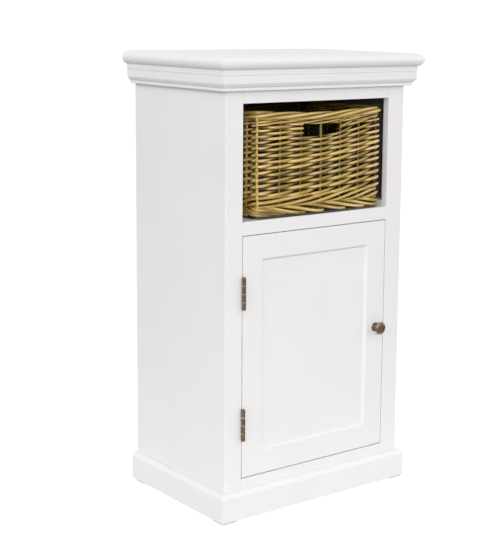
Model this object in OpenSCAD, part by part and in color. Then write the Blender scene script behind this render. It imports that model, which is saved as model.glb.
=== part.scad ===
// Bathroom storage tower: a painted cabinet with a framed door below and an open bay
// for a woven basket above. X runs left to right, Y from front to back, Z up.
// The origin is on the floor, below the middle of the top board.

/* [Top board] */
// Width of the top board, the widest piece
top_w = 500; // [400:1:620]
// Depth of the top board, flush with the carcass at the back
top_d = 338; // [260:1:420]
// Reach of the top board past the carcass at the front and sides
top_overhang = 29.5; // [22:0.5:36]
// Thickness of the top board, whose edges are full round noses
top_t = 25.6; // [18:0.1:32]

/* [Carcass] */
// Thickness of the side panels
side_t = 15; // [12:0.5:18]
// Thickness of the bottom panel, the divider shelf and the sub-top
panel_t = 15; // [12:0.5:20]
// Thickness of the back panel
back_t = 5; // [4:0.5:8]
// Width of the rabbet in each side panel that takes the back panel
rabbet_w = 8; // [7:0.5:10]
// Height and width of the glue blocks' square section in the bottom corners
block_w = 28; // [20:1:34]
// Thickness of the rail behind the plinth at the back
back_rail_t = 15; // [12:0.5:20]

/* [Face frame] */
// Thickness of the face frame
frame_t = 15; // [12:0.5:18]
// Width of the two stiles
stile_w = 39.8; // [34:0.1:50]
// Height of the bottom rail that shows above the plinth
bottom_reveal = 19; // [14:0.5:40]
// Height of the middle rail
mid_rail_h = 25.8; // [20:0.1:40]
// Height of the basket opening
bay_h = 220; // [160:1:300]
// Height of the top rail that shows below the crown
top_reveal = 24; // [12:1:50]

/* [Plinth and feet] */
// Thickness of the plinth boards
plinth_t = 13; // [12:0.5:20]
// Height of the plinth boards
plinth_h = 56.5; // [40:0.5:90]
// Radius of the plinth's rounded top edge
plinth_round = 11.5; // [4:0.5:11.5]
// Side of the square foot pads
foot_side = 35; // [25:1:45]
// Thickness of the foot pads
foot_t = 2.5; // [2:0.5:12]
// Inset of the foot pads from the faces of the plinth
foot_inset = 1.5; // [0.5:0.5:8]
// Inset of the rear foot pads from the back
foot_back_inset = 6.8; // [2:0.2:20]

/* [Crown moulding] */
// Height of the crown moulding
crown_h = 38.6; // [32:0.1:50]
// Reach of the cap, the crown's top band
crown_cap_out = 19.1; // [18.6:0.1:21]
// Height of the cap
crown_cap_h = 10.2; // [4:0.1:14]
// Reach of the flat face below the cap
crown_face_out = 18.2; // [16:0.1:18.4]
// Height of the slope between the face and the foot
crown_slope_h = 7.1; // [4:0.1:9]
// Reach of the foot, the crown's lowest band
crown_foot_out = 11.8; // [9:0.1:13]
// Height of the foot
crown_foot_h = 6.2; // [3:0.1:9]

/* [Door] */
// Height of the door
door_h = 470.4; // [420:1:560]
// Thickness of the door
door_t = 18; // [17:0.5:22]
// Gap between the door and the face frame
door_gap = 1.6; // [1.2:0.1:2.4]
// Width of the door's stiles and rails
member_w = 46; // [42:0.5:60]
// Thickness of the recessed panel
panel_in_door_t = 6; // [4:0.5:7]
// Depth of the panel's face behind the door's face
panel_drop = 6; // [4:0.5:7]
// Width of the sloped bead round the panel
bead_w = 5; // [3:0.5:12]
// Depth of the groove that holds the panel
groove_d = 8; // [5:0.5:10]
// Play of the panel at the bottom of its groove
panel_play = 0.5; // [0.3:0.1:0.8]

/* [Hinges] */
// Length of a hinge with its cap
hinge_h = 63.5; // [50:0.5:80]
// Distance from the door's ends to the hinges
hinge_inset = 75.5; // [40:0.5:110]
// Distance of the hinge axis in front of the door's face
hinge_out = 4.6; // [4.5:0.1:6]
// Radius of the knuckles
knuckle_r = 3.8; // [3.4:0.1:3.9]
// Gap between two knuckles
knuckle_gap = 1.8; // [1.4:0.1:2.4]
// Running clearance between a turning piece and the piece beside it
run_gap = 0.3; // [0.2:0.05:0.4]
// Radius of the brass rings between the knuckles
ring_r = 4; // [3.6:0.1:4.1]
// Radius of the hinge pin
pin_r = 1.8; // [1.4:0.1:2]
// Radial play of a pin or screw in its hole
pin_play = 0.05; // [0.02:0.01:0.08]
// Height of the cap on the pin
cap_h = 2.2; // [1.6:0.1:3]
// Radius of the cap on the pin
cap_r = 3.4; // [2.6:0.1:3.8]
// Thickness of the leaves
leaf_t = 1.3; // [1:0.1:1.6]
// Depth of the leaves behind the door's face
leaf_w = 12; // [10:0.5:14]
// Distance of the leaf screws from the hinge's ends
screw_inset = 12; // [8:0.5:16]
// Radius of a leaf screw's head
screw_head_r = 3.2; // [2.6:0.1:3.6]
// Radius of a leaf screw's shank
screw_r = 1.6; // [1.2:0.1:2]
// Length of a leaf screw
screw_l = 16; // [10:0.5:20]

/* [Knob] */
// Distance of the knob's centre from the door's free edge
knob_inset = 22; // [18:0.5:26]
// Height of the knob above the door's middle
knob_rise = 16.2; // [-60:0.2:60]
// Radius of the rose against the door
rose_r = 9.5; // [7:0.5:14]
// Thickness of the rose
rose_t = 2.4; // [1.5:0.1:4]
// Radius of the knob's neck
neck_r = 4.6; // [3.8:0.1:6]
// Length of the knob's neck
neck_l = 10; // [8:0.1:16]
// Flare of the neck where it meets the rose
neck_flare = 1.2; // [0.6:0.1:1.6]
// Radius of the knob's head
head_r = 13.2; // [10:0.1:17]
// Thickness of the knob's head without its dome
head_t = 6; // [4:0.1:9]
// Width of the bevel at the edges of the knob's head
head_edge = 1.4; // [0.8:0.1:1.8]
// Width of the ring round the knob's face
ring_w = 1.6; // [1:0.1:2.4]
// Depth of the groove inside that ring
ring_groove = 0.7; // [0.3:0.1:1.2]
// Rise of the dome from the bottom of the groove
dome_h = 3; // [1.6:0.1:4]
// Radius of the knob screw
knob_screw_r = 2; // [1.5:0.1:2.4]
// Radius of the knob screw's head
knob_screw_head_r = 4; // [3.2:0.1:6]
// Height of the knob screw's head
knob_screw_head_h = 2.2; // [1.5:0.1:3]
// Length of the knob screw inside the knob
knob_screw_bite = 7; // [5:0.5:8]

/* [Basket] */
// Gap between the opening's left side and the basket's walls
basket_gap_left = 37.7; // [8:0.1:60]
// Gap between the opening's right side and the basket's walls
basket_gap_right = 15.7; // [8:0.1:60]
// Gap between the bay's lined back and the basket's walls
basket_gap_back = 32.5; // [8:0.5:90]
// Headroom between the basket's rim and the top rail
basket_headroom = 16.7; // [6:0.1:70]
// Thickness of the woven walls
weave_t = 11; // [8:0.5:13]
// Radius of the corner posts
post_r = 6.5; // [6:0.5:9]
// Distance of the basket's walls behind the face frame's front
basket_setback = 6; // [4:0.5:14]
// Play under the basket
basket_play = 0.3; // [0.2:0.05:0.5]
// Radius of the round rim
rim_r = 8; // [7:0.5:10]
// Height of the rim's middle above the wall it sits on
rim_seat = 5; // [3:0.5:5.5]
// Reach of the rim's middle past the wall's middle
rim_out = 2.5; // [0:0.5:4]
// Radius of the rim's corners, at its middle
rim_corner = 14; // [11:0.5:24]
// Reach of the foot border past the walls
border_out = 4; // [1:0.5:6]
// Height of the foot border
border_h = 20; // [14:0.5:30]
// Thickness of the basket's floor
base_t = 9; // [6:0.5:10]
// Height of the basket's floor above the bottom of the foot border
base_lift = 2.5; // [1:0.5:3]
// Width of each half of the handle hole
handle_w = 41; // [30:0.5:60]
// Height of the handle hole
handle_h = 23.5; // [18:0.5:36]
// Width of the stake between the halves of the handle hole
handle_stake = 9.5; // [5:0.5:14]
// Height of the woven band between the handle hole and the rim
handle_drop = 15; // [8:0.5:24]

/* [Inside] */
// Thickness of the black lining boards
liner_t = 3; // [2:0.5:5]
// Height of the strips that guide the basket's foot
guide_h = 12; // [8:0.5:18]
// Thickness of the inner shelf
shelf_t = 15; // [12:0.5:18]
// Height of the inner shelf's top above the bottom panel
shelf_rise = 232; // [180:1:235]
// Distance of the inner shelf behind the face frame
shelf_setback = 25; // [15:1:60]
// Play at each end of the inner shelf
shelf_play = 0.8; // [0.4:0.1:1.5]
// Radius of the shelf pins
shelf_pin_r = 2.5; // [2:0.25:3]
// Length of a shelf pin in the side panel
shelf_pin_in = 8; // [6:0.5:9]
// Length of a shelf pin under the shelf
shelf_pin_out = 9; // [6:0.5:14]
// Distance of the shelf pins from the shelf's edges
shelf_pin_inset = 32; // [20:1:60]
// Distance of the door stop's ends from the door's sides
stop_inset = 89.1; // [50:0.1:125]
// Depth of the door stop
stop_d = 12; // [8:0.5:20]
// Overlap of the door stop with the door's top edge
stop_lap = 11.5; // [5:0.5:20]
// Width of the magnetic catch
catch_w = 40; // [30:0.5:48]
// Depth of the magnetic catch
catch_d = 16; // [12:0.5:24]
// Thickness of the catch's walls round the magnet
catch_wall = 4; // [3:0.5:6]
// Depth of the magnet in the catch
magnet_d = 6; // [3:0.5:8]
// Height of the magnet
magnet_h = 13; // [8:0.5:14]
// Thickness of the strike plate on the door
strike_t = 1; // [0.6:0.1:2]
// Width of the strike plate
strike_w = 34; // [20:0.5:40]
// Height of the strike plate
strike_h = 16; // [14:0.5:22]
// Distance of the strike plate below the door's top edge
strike_inset = 1; // [0.5:0.5:3]
// Length of the strike's spigot in the door
spigot_l = 8; // [5:0.5:12]
// Radius of the strike's spigot
spigot_r = 2; // [1.5:0.1:3]
// Number of screws up each side of the back panel
back_screw_n = 5; // [3:1:8]
// Length of a back panel screw
back_screw_l = 20; // [14:0.5:28]
// Radius of a back panel screw's shank
back_screw_r = 1.5; // [1.2:0.1:1.8]
// Radius of a back panel screw's head
back_screw_head_r = 3; // [2.4:0.1:3.4]
// Distance of the end screws from the back panel's ends
back_screw_inset = 60; // [30:1:100]

/* [Hidden] */
$fn = 48;
// Past this length a cut runs clear of the face it starts from
clear = 1;

// Plan
body_w = top_w - 2*top_overhang;
body_d = top_d - top_overhang;
front_y = top_overhang - top_d/2;
body_x = body_w/2;
inner_x = body_x - side_t;
open_x = body_x - stile_w;
panel_back = body_d - back_t;

// Levels, from the floor up
floor_z = foot_t + plinth_h + bottom_reveal;
door_z = floor_z + door_gap;
door_top = door_z + door_h;
mid_rail_z = door_top + door_gap;
bay_z = mid_rail_z + mid_rail_h;
bay_top = bay_z + bay_h;
crown_z = bay_top + top_reveal;
top_z = crown_z + crown_h;
divider_z = bay_z - panel_t;
sub_top_z = top_z - panel_t;

// Door
door_x = open_x - door_gap;
field_x = door_x - member_w;
field_z = door_z + member_w;
field_top = door_top - member_w;
panel_reach = groove_d - panel_play;
knob_x = door_x - knob_inset;
knob_z = door_z + door_h/2 + knob_rise;

// Knob, as distances out from the door's face
head_back = rose_t + neck_l;
head_face = head_back + head_t;
ring_r_out = head_r - head_edge;
ring_r_in = ring_r_out - ring_w;
dome_r = ring_r_in - ring_groove;
dome_steps = 6;

// Hinges
hinge_x = door_gap/2 - open_x;
barrel_h = hinge_h - cap_h;
knuckle_n = 4;
knuckle_pitch = (barrel_h + knuckle_gap)/knuckle_n;
knuckle_h = knuckle_pitch - knuckle_gap;
ring_t = knuckle_gap - 2*run_gap;
lower_hinge_z = door_z + hinge_inset;
upper_hinge_z = door_top - hinge_inset - hinge_h;
hinge_levels = [lower_hinge_z, upper_hinge_z];
frame_knuckles = [0, 2];
door_knuckles = [1, 3];

// Basket
basket_x0 = basket_gap_left - open_x;
basket_x1 = open_x - basket_gap_right;
basket_y0 = basket_setback;
basket_y1 = panel_back - liner_t - basket_gap_back;
basket_mid_x = (basket_x0 + basket_x1)/2;
basket_mid_y = (basket_y0 + basket_y1)/2;
basket_z = bay_z + basket_play;
wall_z = basket_z + border_h;
rim_z = bay_top - basket_headroom - rim_r;
wall_top = rim_z - rim_seat;
// The walls' middle runs through the corner posts
wall_in = post_r - weave_t/2;
handle_top = wall_top - handle_drop;

// Inside
shelf_top = floor_z + shelf_rise;
shelf_y0 = frame_t + shelf_setback;
stop_y = door_t + run_gap;
catch_y = door_t + strike_t + run_gap;
// The strike sits on the middle of the door's free stile, and the catch faces it
catch_x = door_x - member_w/2;
strike_z = door_top - strike_inset - strike_h;
magnet_z = strike_z + (strike_h - magnet_h)/2;
catch_z = magnet_z - catch_wall;

// ---- Helpers. Depths (y) are measured from the face frame's front. ----

// A box from its low corner to its high corner
module slab(lo, hi) {
    translate([lo.x, front_y + lo.y, lo.z])
        cube(hi - lo);
}

// A box mirrored to the left (side -1) or kept on the right (side 1)
module side_slab(side, lo, hi) {
    mirror([side < 0 ? 1 : 0, 0, 0])
        slab(lo, hi);
}

// Runs a (depth, height) outline along X, centred
module along_x(length) {
    translate([-length/2, 0, 0])
        rotate([90, 0, 90])
            linear_extrude(length)
                children();
}

// Runs an (x, height) outline along Y between two depths
module along_y(y0, y1) {
    translate([0, front_y + y1, 0])
        rotate([90, 0, 0])
            linear_extrude(y1 - y0)
                children();
}

// Puts a shape drawn along +Z on a line that points out of the door's face
module facing_front(x, y, z) {
    translate([x, front_y + y, z])
        rotate([90, 0, 0])
            children();
}

// The plan of a moulding's front length, mitred at both ends
module front_plan(reach, z0, z1) {
    translate([0, front_y, z0])
        linear_extrude(z1 - z0)
            polygon([[-body_x, 0], [body_x, 0], [body_x + reach, -reach], [-body_x - reach, -reach]]);
}

// The plan of a moulding's right length, mitred at the front
module side_plan(reach, z0, z1) {
    translate([0, front_y, z0])
        linear_extrude(z1 - z0)
            polygon([[body_x, 0], [body_x + reach, -reach], [body_x + reach, body_d], [body_x, body_d]]);
}

// ---- Carcass ----

// A screw with a countersunk head, drawn along +Z from the face it is driven into
module countersunk(head, shank, length, grow) {
    cylinder(r = shank + grow, h = length + grow);
    cylinder(r1 = head + grow, r2 = shank, h = head - shank + grow);
}

module back_screws_all(grow) {
    low = foot_t + back_screw_inset;
    high = top_z - back_screw_inset;
    for (side = [-1, 1], z = [low : (high - low)/(back_screw_n - 1) : high + pin_play])
        facing_front(side*(inner_x + rabbet_w/2), body_d, z)
            countersunk(back_screw_head_r, back_screw_r, back_screw_l, grow);
}

module shelf_pins_all(grow) {
    ys = [shelf_y0 + shelf_pin_inset, panel_back - shelf_pin_inset];
    length = shelf_pin_in + shelf_pin_out;
    for (side = [-1, 1], y = ys)
        translate([side*(inner_x + shelf_pin_in + grow), front_y + y, shelf_top - shelf_t - shelf_pin_r])
            rotate([0, -90*side, 0])
                cylinder(r = shelf_pin_r + grow, h = length + grow);
}

module side_panel(side) {
    color("whitesmoke")
        difference() {
            side_slab(side, [inner_x, frame_t, foot_t], [body_x, body_d, top_z]);
            side_slab(side, [inner_x - clear, panel_back, foot_t - clear],
                      [inner_x + rabbet_w, body_d + clear, top_z + clear]);
            shelf_pins_all(pin_play);
            back_screws_all(pin_play);
        }
}
module side_panel_left() { side_panel(-1); }
module side_panel_right() { side_panel(1); }

module back_panel() {
    color("gainsboro")
        difference() {
            slab([-inner_x - rabbet_w, panel_back, foot_t], [inner_x + rabbet_w, body_d, top_z]);
            back_screws_all(pin_play);
        }
}

module bottom_panel() {
    color("whitesmoke")
        slab([-inner_x, frame_t, floor_z - panel_t], [inner_x, panel_back, floor_z]);
}

module divider_shelf() {
    color("whitesmoke")
        slab([-inner_x, frame_t, divider_z], [inner_x, panel_back, bay_z]);
}

module sub_top() {
    color("burlywood")
        slab([-inner_x, frame_t, sub_top_z], [inner_x, panel_back, top_z]);
}

module glue_blocks() {
    ys = [frame_t, panel_back - back_rail_t - block_w];
    color("burlywood")
        for (side = [-1, 1], y = ys)
            side_slab(side, [inner_x - block_w, y, foot_t], [inner_x, y + block_w, floor_z - panel_t]);
}

module plinth_back_rail() {
    color("burlywood")
        slab([-inner_x, panel_back - back_rail_t, foot_t], [inner_x, panel_back, floor_z - panel_t]);
}

module back_screws() {
    color("silver")
        back_screws_all(0);
}

// ---- Face frame ----

module frame_stile_left() {
    color("white")
        difference() {
            slab([-body_x, 0, foot_t], [-open_x, frame_t, top_z]);
            leaf_mortises(-1);
            hinge_screws(-1, pin_play);
        }
}

module frame_stile_right() {
    color("white")
        slab([open_x, 0, foot_t], [body_x, frame_t, top_z]);
}

module frame_rail(z0, z1) {
    color("white")
        slab([-open_x, 0, z0], [open_x, frame_t, z1]);
}
module frame_rail_top() { frame_rail(bay_top, top_z); }
module frame_rail_middle() { frame_rail(mid_rail_z, bay_z); }
module frame_rail_bottom() { frame_rail(foot_t, floor_z); }

// ---- Top board, crown and plinth ----

module top_board() {
    nose = top_t/2;
    color("white")
        intersection() {
            along_x(top_w)
                translate([0, top_z]) {
                    translate([front_y - top_overhang + nose, 0])
                        square([top_d - nose, top_t]);
                    translate([front_y - top_overhang + nose, nose])
                        circle(r = nose);
                }
            along_y(-top_overhang, body_d)
                translate([0, top_z]) {
                    translate([nose - top_w/2, 0])
                        square([top_w - top_t, top_t]);
                    for (side = [-1, 1])
                        translate([side*(top_w/2 - nose), nose])
                            circle(r = nose);
                }
        }
}

// Crown outline: (reach, height) from the carcass face and the crown's foot
crown_outline = [
    [0, 0],
    [crown_foot_out, 0],
    [crown_foot_out, crown_foot_h],
    [crown_foot_out + 1, crown_foot_h],
    [crown_face_out, crown_foot_h + crown_slope_h],
    [crown_face_out, crown_h - crown_cap_h],
    [crown_cap_out, crown_h - crown_cap_h],
    [crown_cap_out, crown_h],
    [0, crown_h]
];

module crown_side(side) {
    color("white")
        mirror([side < 0 ? 1 : 0, 0, 0])
            intersection() {
                along_y(-crown_cap_out, body_d)
                    translate([body_x, crown_z])
                        polygon(crown_outline);
                side_plan(crown_cap_out, crown_z, top_z);
            }
}
module crown_left() { crown_side(-1); }
module crown_right() { crown_side(1); }

module crown_front() {
    color("white")
        intersection() {
            along_x(body_w + 2*crown_cap_out)
                translate([front_y, crown_z])
                    mirror([1, 0])
                        polygon(crown_outline);
            front_plan(crown_cap_out, crown_z, top_z);
        }
}

// Plinth outline: a board with a quarter-round top edge
module plinth_outline() {
    square([plinth_t, plinth_h - plinth_round]);
    square([plinth_t - plinth_round, plinth_h]);
    translate([plinth_t - plinth_round, plinth_h - plinth_round])
        intersection() {
            circle(r = plinth_round);
            square(plinth_round);
        }
}

module plinth_side(side) {
    color("white")
        mirror([side < 0 ? 1 : 0, 0, 0])
            intersection() {
                along_y(-plinth_t, body_d)
                    translate([body_x, foot_t])
                        plinth_outline();
                side_plan(plinth_t, foot_t, foot_t + plinth_h);
            }
}
module plinth_left() { plinth_side(-1); }
module plinth_right() { plinth_side(1); }

module plinth_front() {
    color("white")
        intersection() {
            along_x(body_w + 2*plinth_t)
                translate([front_y, foot_t])
                    mirror([1, 0])
                        plinth_outline();
            front_plan(plinth_t, foot_t, foot_t + plinth_h);
        }
}

module foot_pads() {
    outer_x = body_x + plinth_t - foot_inset;
    ys = [foot_inset - plinth_t, body_d - foot_back_inset - foot_side];
    color("lightgray")
        for (side = [-1, 1], y = ys)
            side_slab(side, [outer_x - foot_side, y, 0], [outer_x, y + foot_side, foot_t]);
}

// ---- Basket bay ----

module bay_liner_side(side) {
    color("black")
        side_slab(side, [inner_x - liner_t, frame_t, bay_z], [inner_x, panel_back, sub_top_z]);
}
module bay_liner_left() { bay_liner_side(-1); }
module bay_liner_right() { bay_liner_side(1); }

module bay_liner_back() {
    color("black")
        slab([liner_t - inner_x, panel_back - liner_t, bay_z], [inner_x - liner_t, panel_back, sub_top_z]);
}

module bay_liner_top() {
    color("black")
        slab([liner_t - inner_x, frame_t, sub_top_z - liner_t],
             [inner_x - liner_t, panel_back - liner_t, sub_top_z]);
}

module basket_guide(side) {
    color("whitesmoke")
        side_slab(side, [open_x, frame_t, bay_z],
                  [inner_x - liner_t, panel_back - liner_t, bay_z + guide_h]);
}
module basket_guide_left() { basket_guide(-1); }
module basket_guide_right() { basket_guide(1); }

// ---- Cupboard ----

module inner_shelf() {
    color("whitesmoke")
        slab([shelf_play - inner_x, shelf_y0, shelf_top - shelf_t],
             [inner_x - shelf_play, panel_back, shelf_top]);
}

module shelf_pins() {
    color("silver")
        shelf_pins_all(0);
}

module door_stop() {
    color("whitesmoke")
        slab([stop_inset - door_x, stop_y, door_top - stop_lap],
             [door_x - stop_inset, stop_y + stop_d, divider_z]);
}

// The magnet, which a cut for it passes by grow at the front
module magnet_shape(grow) {
    reach = catch_w/2 - catch_wall;
    slab([catch_x - reach, catch_y - grow, magnet_z],
         [catch_x + reach, catch_y + magnet_d, magnet_z + magnet_h]);
}

module catch_magnet() {
    color("dimgray")
        magnet_shape(0);
}

module catch_body() {
    reach = catch_w/2;
    color("white")
        difference() {
            slab([catch_x - reach, catch_y, catch_z], [catch_x + reach, catch_y + catch_d, divider_z]);
            magnet_shape(clear);
        }
}

module strike_spigot(grow) {
    facing_front(catch_x, door_t, strike_z + strike_h/2)
        cylinder(r = spigot_r + grow, h = spigot_l + grow);
}

module catch_strike() {
    reach = strike_w/2;
    color("silver") {
        slab([catch_x - reach, door_t, strike_z], [catch_x + reach, door_t + strike_t, strike_z + strike_h]);
        strike_spigot(0);
    }
}

// ---- Hinges. Side -1 is the face frame's leaf, side 1 the door's. ----

function leaf_x(side) = side < 0 ? -open_x - leaf_t : -door_x;

module hinge_screw(side, z, grow) {
    translate([side < 0 ? -open_x : -door_x, front_y + leaf_w/2, z])
        rotate([0, 90*side, 0])
            countersunk(screw_head_r, screw_r, screw_l, grow);
}

module hinge_screws(side, grow) {
    for (z0 = hinge_levels, z = [screw_inset, barrel_h - screw_inset])
        hinge_screw(side, z0 + z, grow);
}

// The shallow pockets that the leaves lie in
module leaf_mortises(side) {
    x0 = side < 0 ? leaf_x(side) : leaf_x(side) - clear;
    x1 = x0 + leaf_t + clear;
    for (z0 = hinge_levels)
        slab([x0, -clear, z0], [x1, leaf_w, z0 + barrel_h]);
}

module hinge_leaf(z0, side, knuckles) {
    x = leaf_x(side);
    color("darkgoldenrod")
        difference() {
            union() {
                slab([x, 0, z0], [x + leaf_t, leaf_w, z0 + barrel_h]);
                for (i = knuckles) {
                    z = z0 + i*knuckle_pitch;
                    slab([x, -hinge_out, z], [x + leaf_t, leaf_w, z + knuckle_h]);
                    translate([hinge_x, front_y - hinge_out, z])
                        cylinder(r = knuckle_r, h = knuckle_h);
                }
            }
            translate([hinge_x, front_y - hinge_out, z0 - clear])
                cylinder(r = pin_r + pin_play, h = barrel_h + 2*clear);
            hinge_screws(side, pin_play);
        }
}
module hinge_leaf_frame_upper() { hinge_leaf(upper_hinge_z, -1, frame_knuckles); }
module hinge_leaf_frame_lower() { hinge_leaf(lower_hinge_z, -1, frame_knuckles); }
module hinge_leaf_door_upper() { hinge_leaf(upper_hinge_z, 1, door_knuckles); }
module hinge_leaf_door_lower() { hinge_leaf(lower_hinge_z, 1, door_knuckles); }

module hinge_pin(z0) {
    seat = barrel_h + run_gap;
    edge = hinge_h - (hinge_h - seat)/2;
    color("darkgoldenrod")
        translate([hinge_x, front_y - hinge_out, z0])
            rotate_extrude()
                polygon([[0, 0], [pin_r, 0], [pin_r, seat], [cap_r, seat], [cap_r, edge],
                         [cap_r - (hinge_h - edge), hinge_h], [0, hinge_h]]);
}
module hinge_pin_upper() { hinge_pin(upper_hinge_z); }
module hinge_pin_lower() { hinge_pin(lower_hinge_z); }

module hinge_rings() {
    color("gold")
        for (z0 = hinge_levels, i = [1 : knuckle_n - 1])
            translate([hinge_x, front_y - hinge_out, z0 + i*knuckle_pitch - knuckle_gap + run_gap])
                difference() {
                    cylinder(r = ring_r, h = ring_t);
                    translate([0, 0, -clear])
                        cylinder(r = pin_r + pin_play, h = ring_t + 2*clear);
                }
}

module hinge_screws_frame() {
    color("darkgoldenrod")
        hinge_screws(-1, 0);
}

module hinge_screws_door() {
    color("darkgoldenrod")
        hinge_screws(1, 0);
}

// ---- Door ----

// The panel's groove, cut round the inside of the door's frame
module panel_groove() {
    slab([-field_x - groove_d, panel_drop, field_z - groove_d],
         [field_x + groove_d, panel_drop + panel_in_door_t, field_top + groove_d]);
}

module door_stile_left() {
    color("white")
        difference() {
            slab([-door_x, 0, door_z], [-field_x, door_t, door_top]);
            panel_groove();
            leaf_mortises(1);
            hinge_screws(1, pin_play);
        }
}

module door_stile_right() {
    color("white")
        difference() {
            slab([field_x, 0, door_z], [door_x, door_t, door_top]);
            panel_groove();
            knob_screw_hole();
            strike_spigot(pin_play);
        }
}

module door_rail_top() {
    color("white")
        difference() {
            slab([-field_x, 0, field_top], [field_x, door_t, door_top]);
            panel_groove();
        }
}

module door_rail_bottom() {
    color("white")
        difference() {
            slab([-field_x, 0, door_z], [field_x, door_t, field_z]);
            panel_groove();
        }
}

module door_panel() {
    color("white")
        slab([-field_x - panel_reach, panel_drop, field_z - panel_reach],
             [field_x + panel_reach, panel_drop + panel_in_door_t, field_top + panel_reach]);
}

// One length of bead between its mitres, drawn along X with its back on the lower edge
module bead(length) {
    end = length/2;
    tip = end - bead_w;
    intersection() {
        along_x(length)
            translate([front_y, 0])
                polygon([[0, 0], [panel_drop, 0], [panel_drop, bead_w]]);
        along_y(0, panel_drop)
            polygon([[-end, 0], [end, 0], [tip, bead_w], [-tip, bead_w]]);
    }
}

module door_beads() {
    across = 2*field_x;
    up = field_top - field_z;
    middle = (field_z + field_top)/2;
    color("white")
        for (turn = [0, 90, 180, 270]) {
            upright = turn % 180 != 0;
            translate([0, 0, middle])
                rotate([0, turn, 0])
                    translate([0, 0, -(upright ? across : up)/2])
                        bead(upright ? up : across);
        }
}

// ---- Knob, drawn from the door's face outward ----

module knob_rose() {
    edge = rose_t/2;
    color("saddlebrown")
        facing_front(knob_x, 0, knob_z)
            difference() {
                rotate_extrude()
                    polygon([[0, 0], [rose_r, 0], [rose_r, edge], [rose_r - edge, rose_t], [0, rose_t]]);
                translate([0, 0, -clear])
                    cylinder(r = knob_screw_r + pin_play, h = rose_t + 2*clear);
            }
}

// The knob's outline: (radius, distance out from the door's face)
knob_outline = [
    [0, rose_t],
    [neck_r + neck_flare, rose_t],
    [neck_r, rose_t + neck_flare],
    [neck_r, rose_t + neck_l/2],
    [ring_r_out, head_back],
    [head_r, head_back + head_edge],
    [head_r, head_face - head_edge],
    [ring_r_out, head_face],
    [ring_r_in, head_face],
    for (i = [0 : dome_steps])
        let (a = 90*i/dome_steps)
            [dome_r*cos(a), head_face - ring_groove + dome_h*sin(a)]
];

module knob() {
    color("saddlebrown")
        facing_front(knob_x, 0, knob_z)
            difference() {
                rotate_extrude()
                    polygon(knob_outline);
                translate([0, 0, rose_t - clear])
                    cylinder(r = knob_screw_r + pin_play, h = knob_screw_bite + pin_play + clear);
            }
}

module knob_screw_hole() {
    facing_front(knob_x, door_t + clear, knob_z)
        cylinder(r = knob_screw_r + pin_play, h = door_t + 2*clear);
}

module knob_screw() {
    color("silver")
        facing_front(knob_x, door_t, knob_z) {
            cylinder(r = knob_screw_r, h = door_t + rose_t + knob_screw_bite);
            translate([0, 0, -knob_screw_head_h])
                cylinder(r = knob_screw_head_r, h = knob_screw_head_h);
        }
}

// ---- Basket ----

// The left (side -1) or right (side 1) wall with its two corner posts
module basket_side(side, z0, z1) {
    x0 = side < 0 ? basket_x0 + wall_in : basket_x1 - wall_in - weave_t;
    slab([x0, basket_y0 + post_r, z0], [x0 + weave_t, basket_y1 - post_r, z1]);
    for (y = [basket_y0 + post_r, basket_y1 - post_r])
        translate([side < 0 ? basket_x0 + post_r : basket_x1 - post_r, front_y + y, z0])
            cylinder(r = post_r, h = z1 - z0);
}

// The front or back wall, whose ends are hollowed to fit the posts and the side walls
module basket_face(y0) {
    difference() {
        slab([basket_x0 + post_r, y0, wall_z], [basket_x1 - post_r, y0 + weave_t, wall_top]);
        for (side = [-1, 1])
            basket_side(side, wall_z - clear, wall_top + clear);
    }
}

module basket_front() {
    y0 = basket_y0 + wall_in;
    color("tan")
        difference() {
            basket_face(y0);
            for (side = [-1, 1])
                translate([basket_mid_x, 0, 0])
                    side_slab(side, [handle_stake/2, y0 - clear, handle_top - handle_h],
                              [handle_stake/2 + handle_w, y0 + weave_t + clear, handle_top]);
        }
}

module basket_back() {
    color("tan")
        basket_face(basket_y1 - wall_in - weave_t);
}

module basket_left() {
    color("tan")
        basket_side(-1, wall_z, wall_top);
}

module basket_right() {
    color("tan")
        basket_side(1, wall_z, wall_top);
}

// The rim's section: round, with a flat seat on the walls
module rim_section() {
    intersection() {
        circle(r = rim_r);
        translate([-rim_r, -rim_seat])
            square([2*rim_r, rim_seat + rim_r]);
    }
}

module rim_straight(length) {
    rotate([90, 0, 90])
        translate([0, 0, -length/2])
            linear_extrude(length)
                rim_section();
}

module basket_rim() {
    half_x = basket_mid_x - basket_x0 - post_r + rim_out;
    half_y = basket_mid_y - basket_y0 - post_r + rim_out;
    color("peru")
        translate([basket_mid_x, front_y + basket_mid_y, rim_z]) {
            for (side = [-1, 1]) {
                translate([0, side*half_y, 0])
                    rim_straight(2*(half_x - rim_corner));
                translate([side*half_x, 0, 0])
                    rotate([0, 0, 90])
                        rim_straight(2*(half_y - rim_corner));
            }
            for (i = [0 : 3]) {
                sx = i == 0 || i == 3 ? 1 : -1;
                sy = i < 2 ? 1 : -1;
                translate([sx*(half_x - rim_corner), sy*(half_y - rim_corner), 0])
                    rotate([0, 0, 90*i])
                        rotate_extrude(angle = 90)
                            translate([rim_corner, 0])
                                rim_section();
            }
        }
}

// The border that the basket stands on, round its floor
module basket_border() {
    out_x0 = basket_x0 - border_out;
    out_x1 = basket_x1 + border_out;
    out_y0 = basket_y0 - border_out;
    out_y1 = basket_y1 + border_out;
    round_r = post_r + border_out;
    inset = wall_in + weave_t;
    color("peru")
        difference() {
            union() {
                slab([out_x0 + round_r, out_y0, basket_z], [out_x1 - round_r, out_y1, wall_z]);
                slab([out_x0, out_y0 + round_r, basket_z], [out_x1, out_y1 - round_r, wall_z]);
                for (x = [out_x0 + round_r, out_x1 - round_r], y = [out_y0 + round_r, out_y1 - round_r])
                    translate([x, front_y + y, basket_z])
                        cylinder(r = round_r, h = border_h);
            }
            slab([basket_x0 + inset, basket_y0 + inset, basket_z - clear],
                 [basket_x1 - inset, basket_y1 - inset, wall_z + clear]);
        }
}

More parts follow.
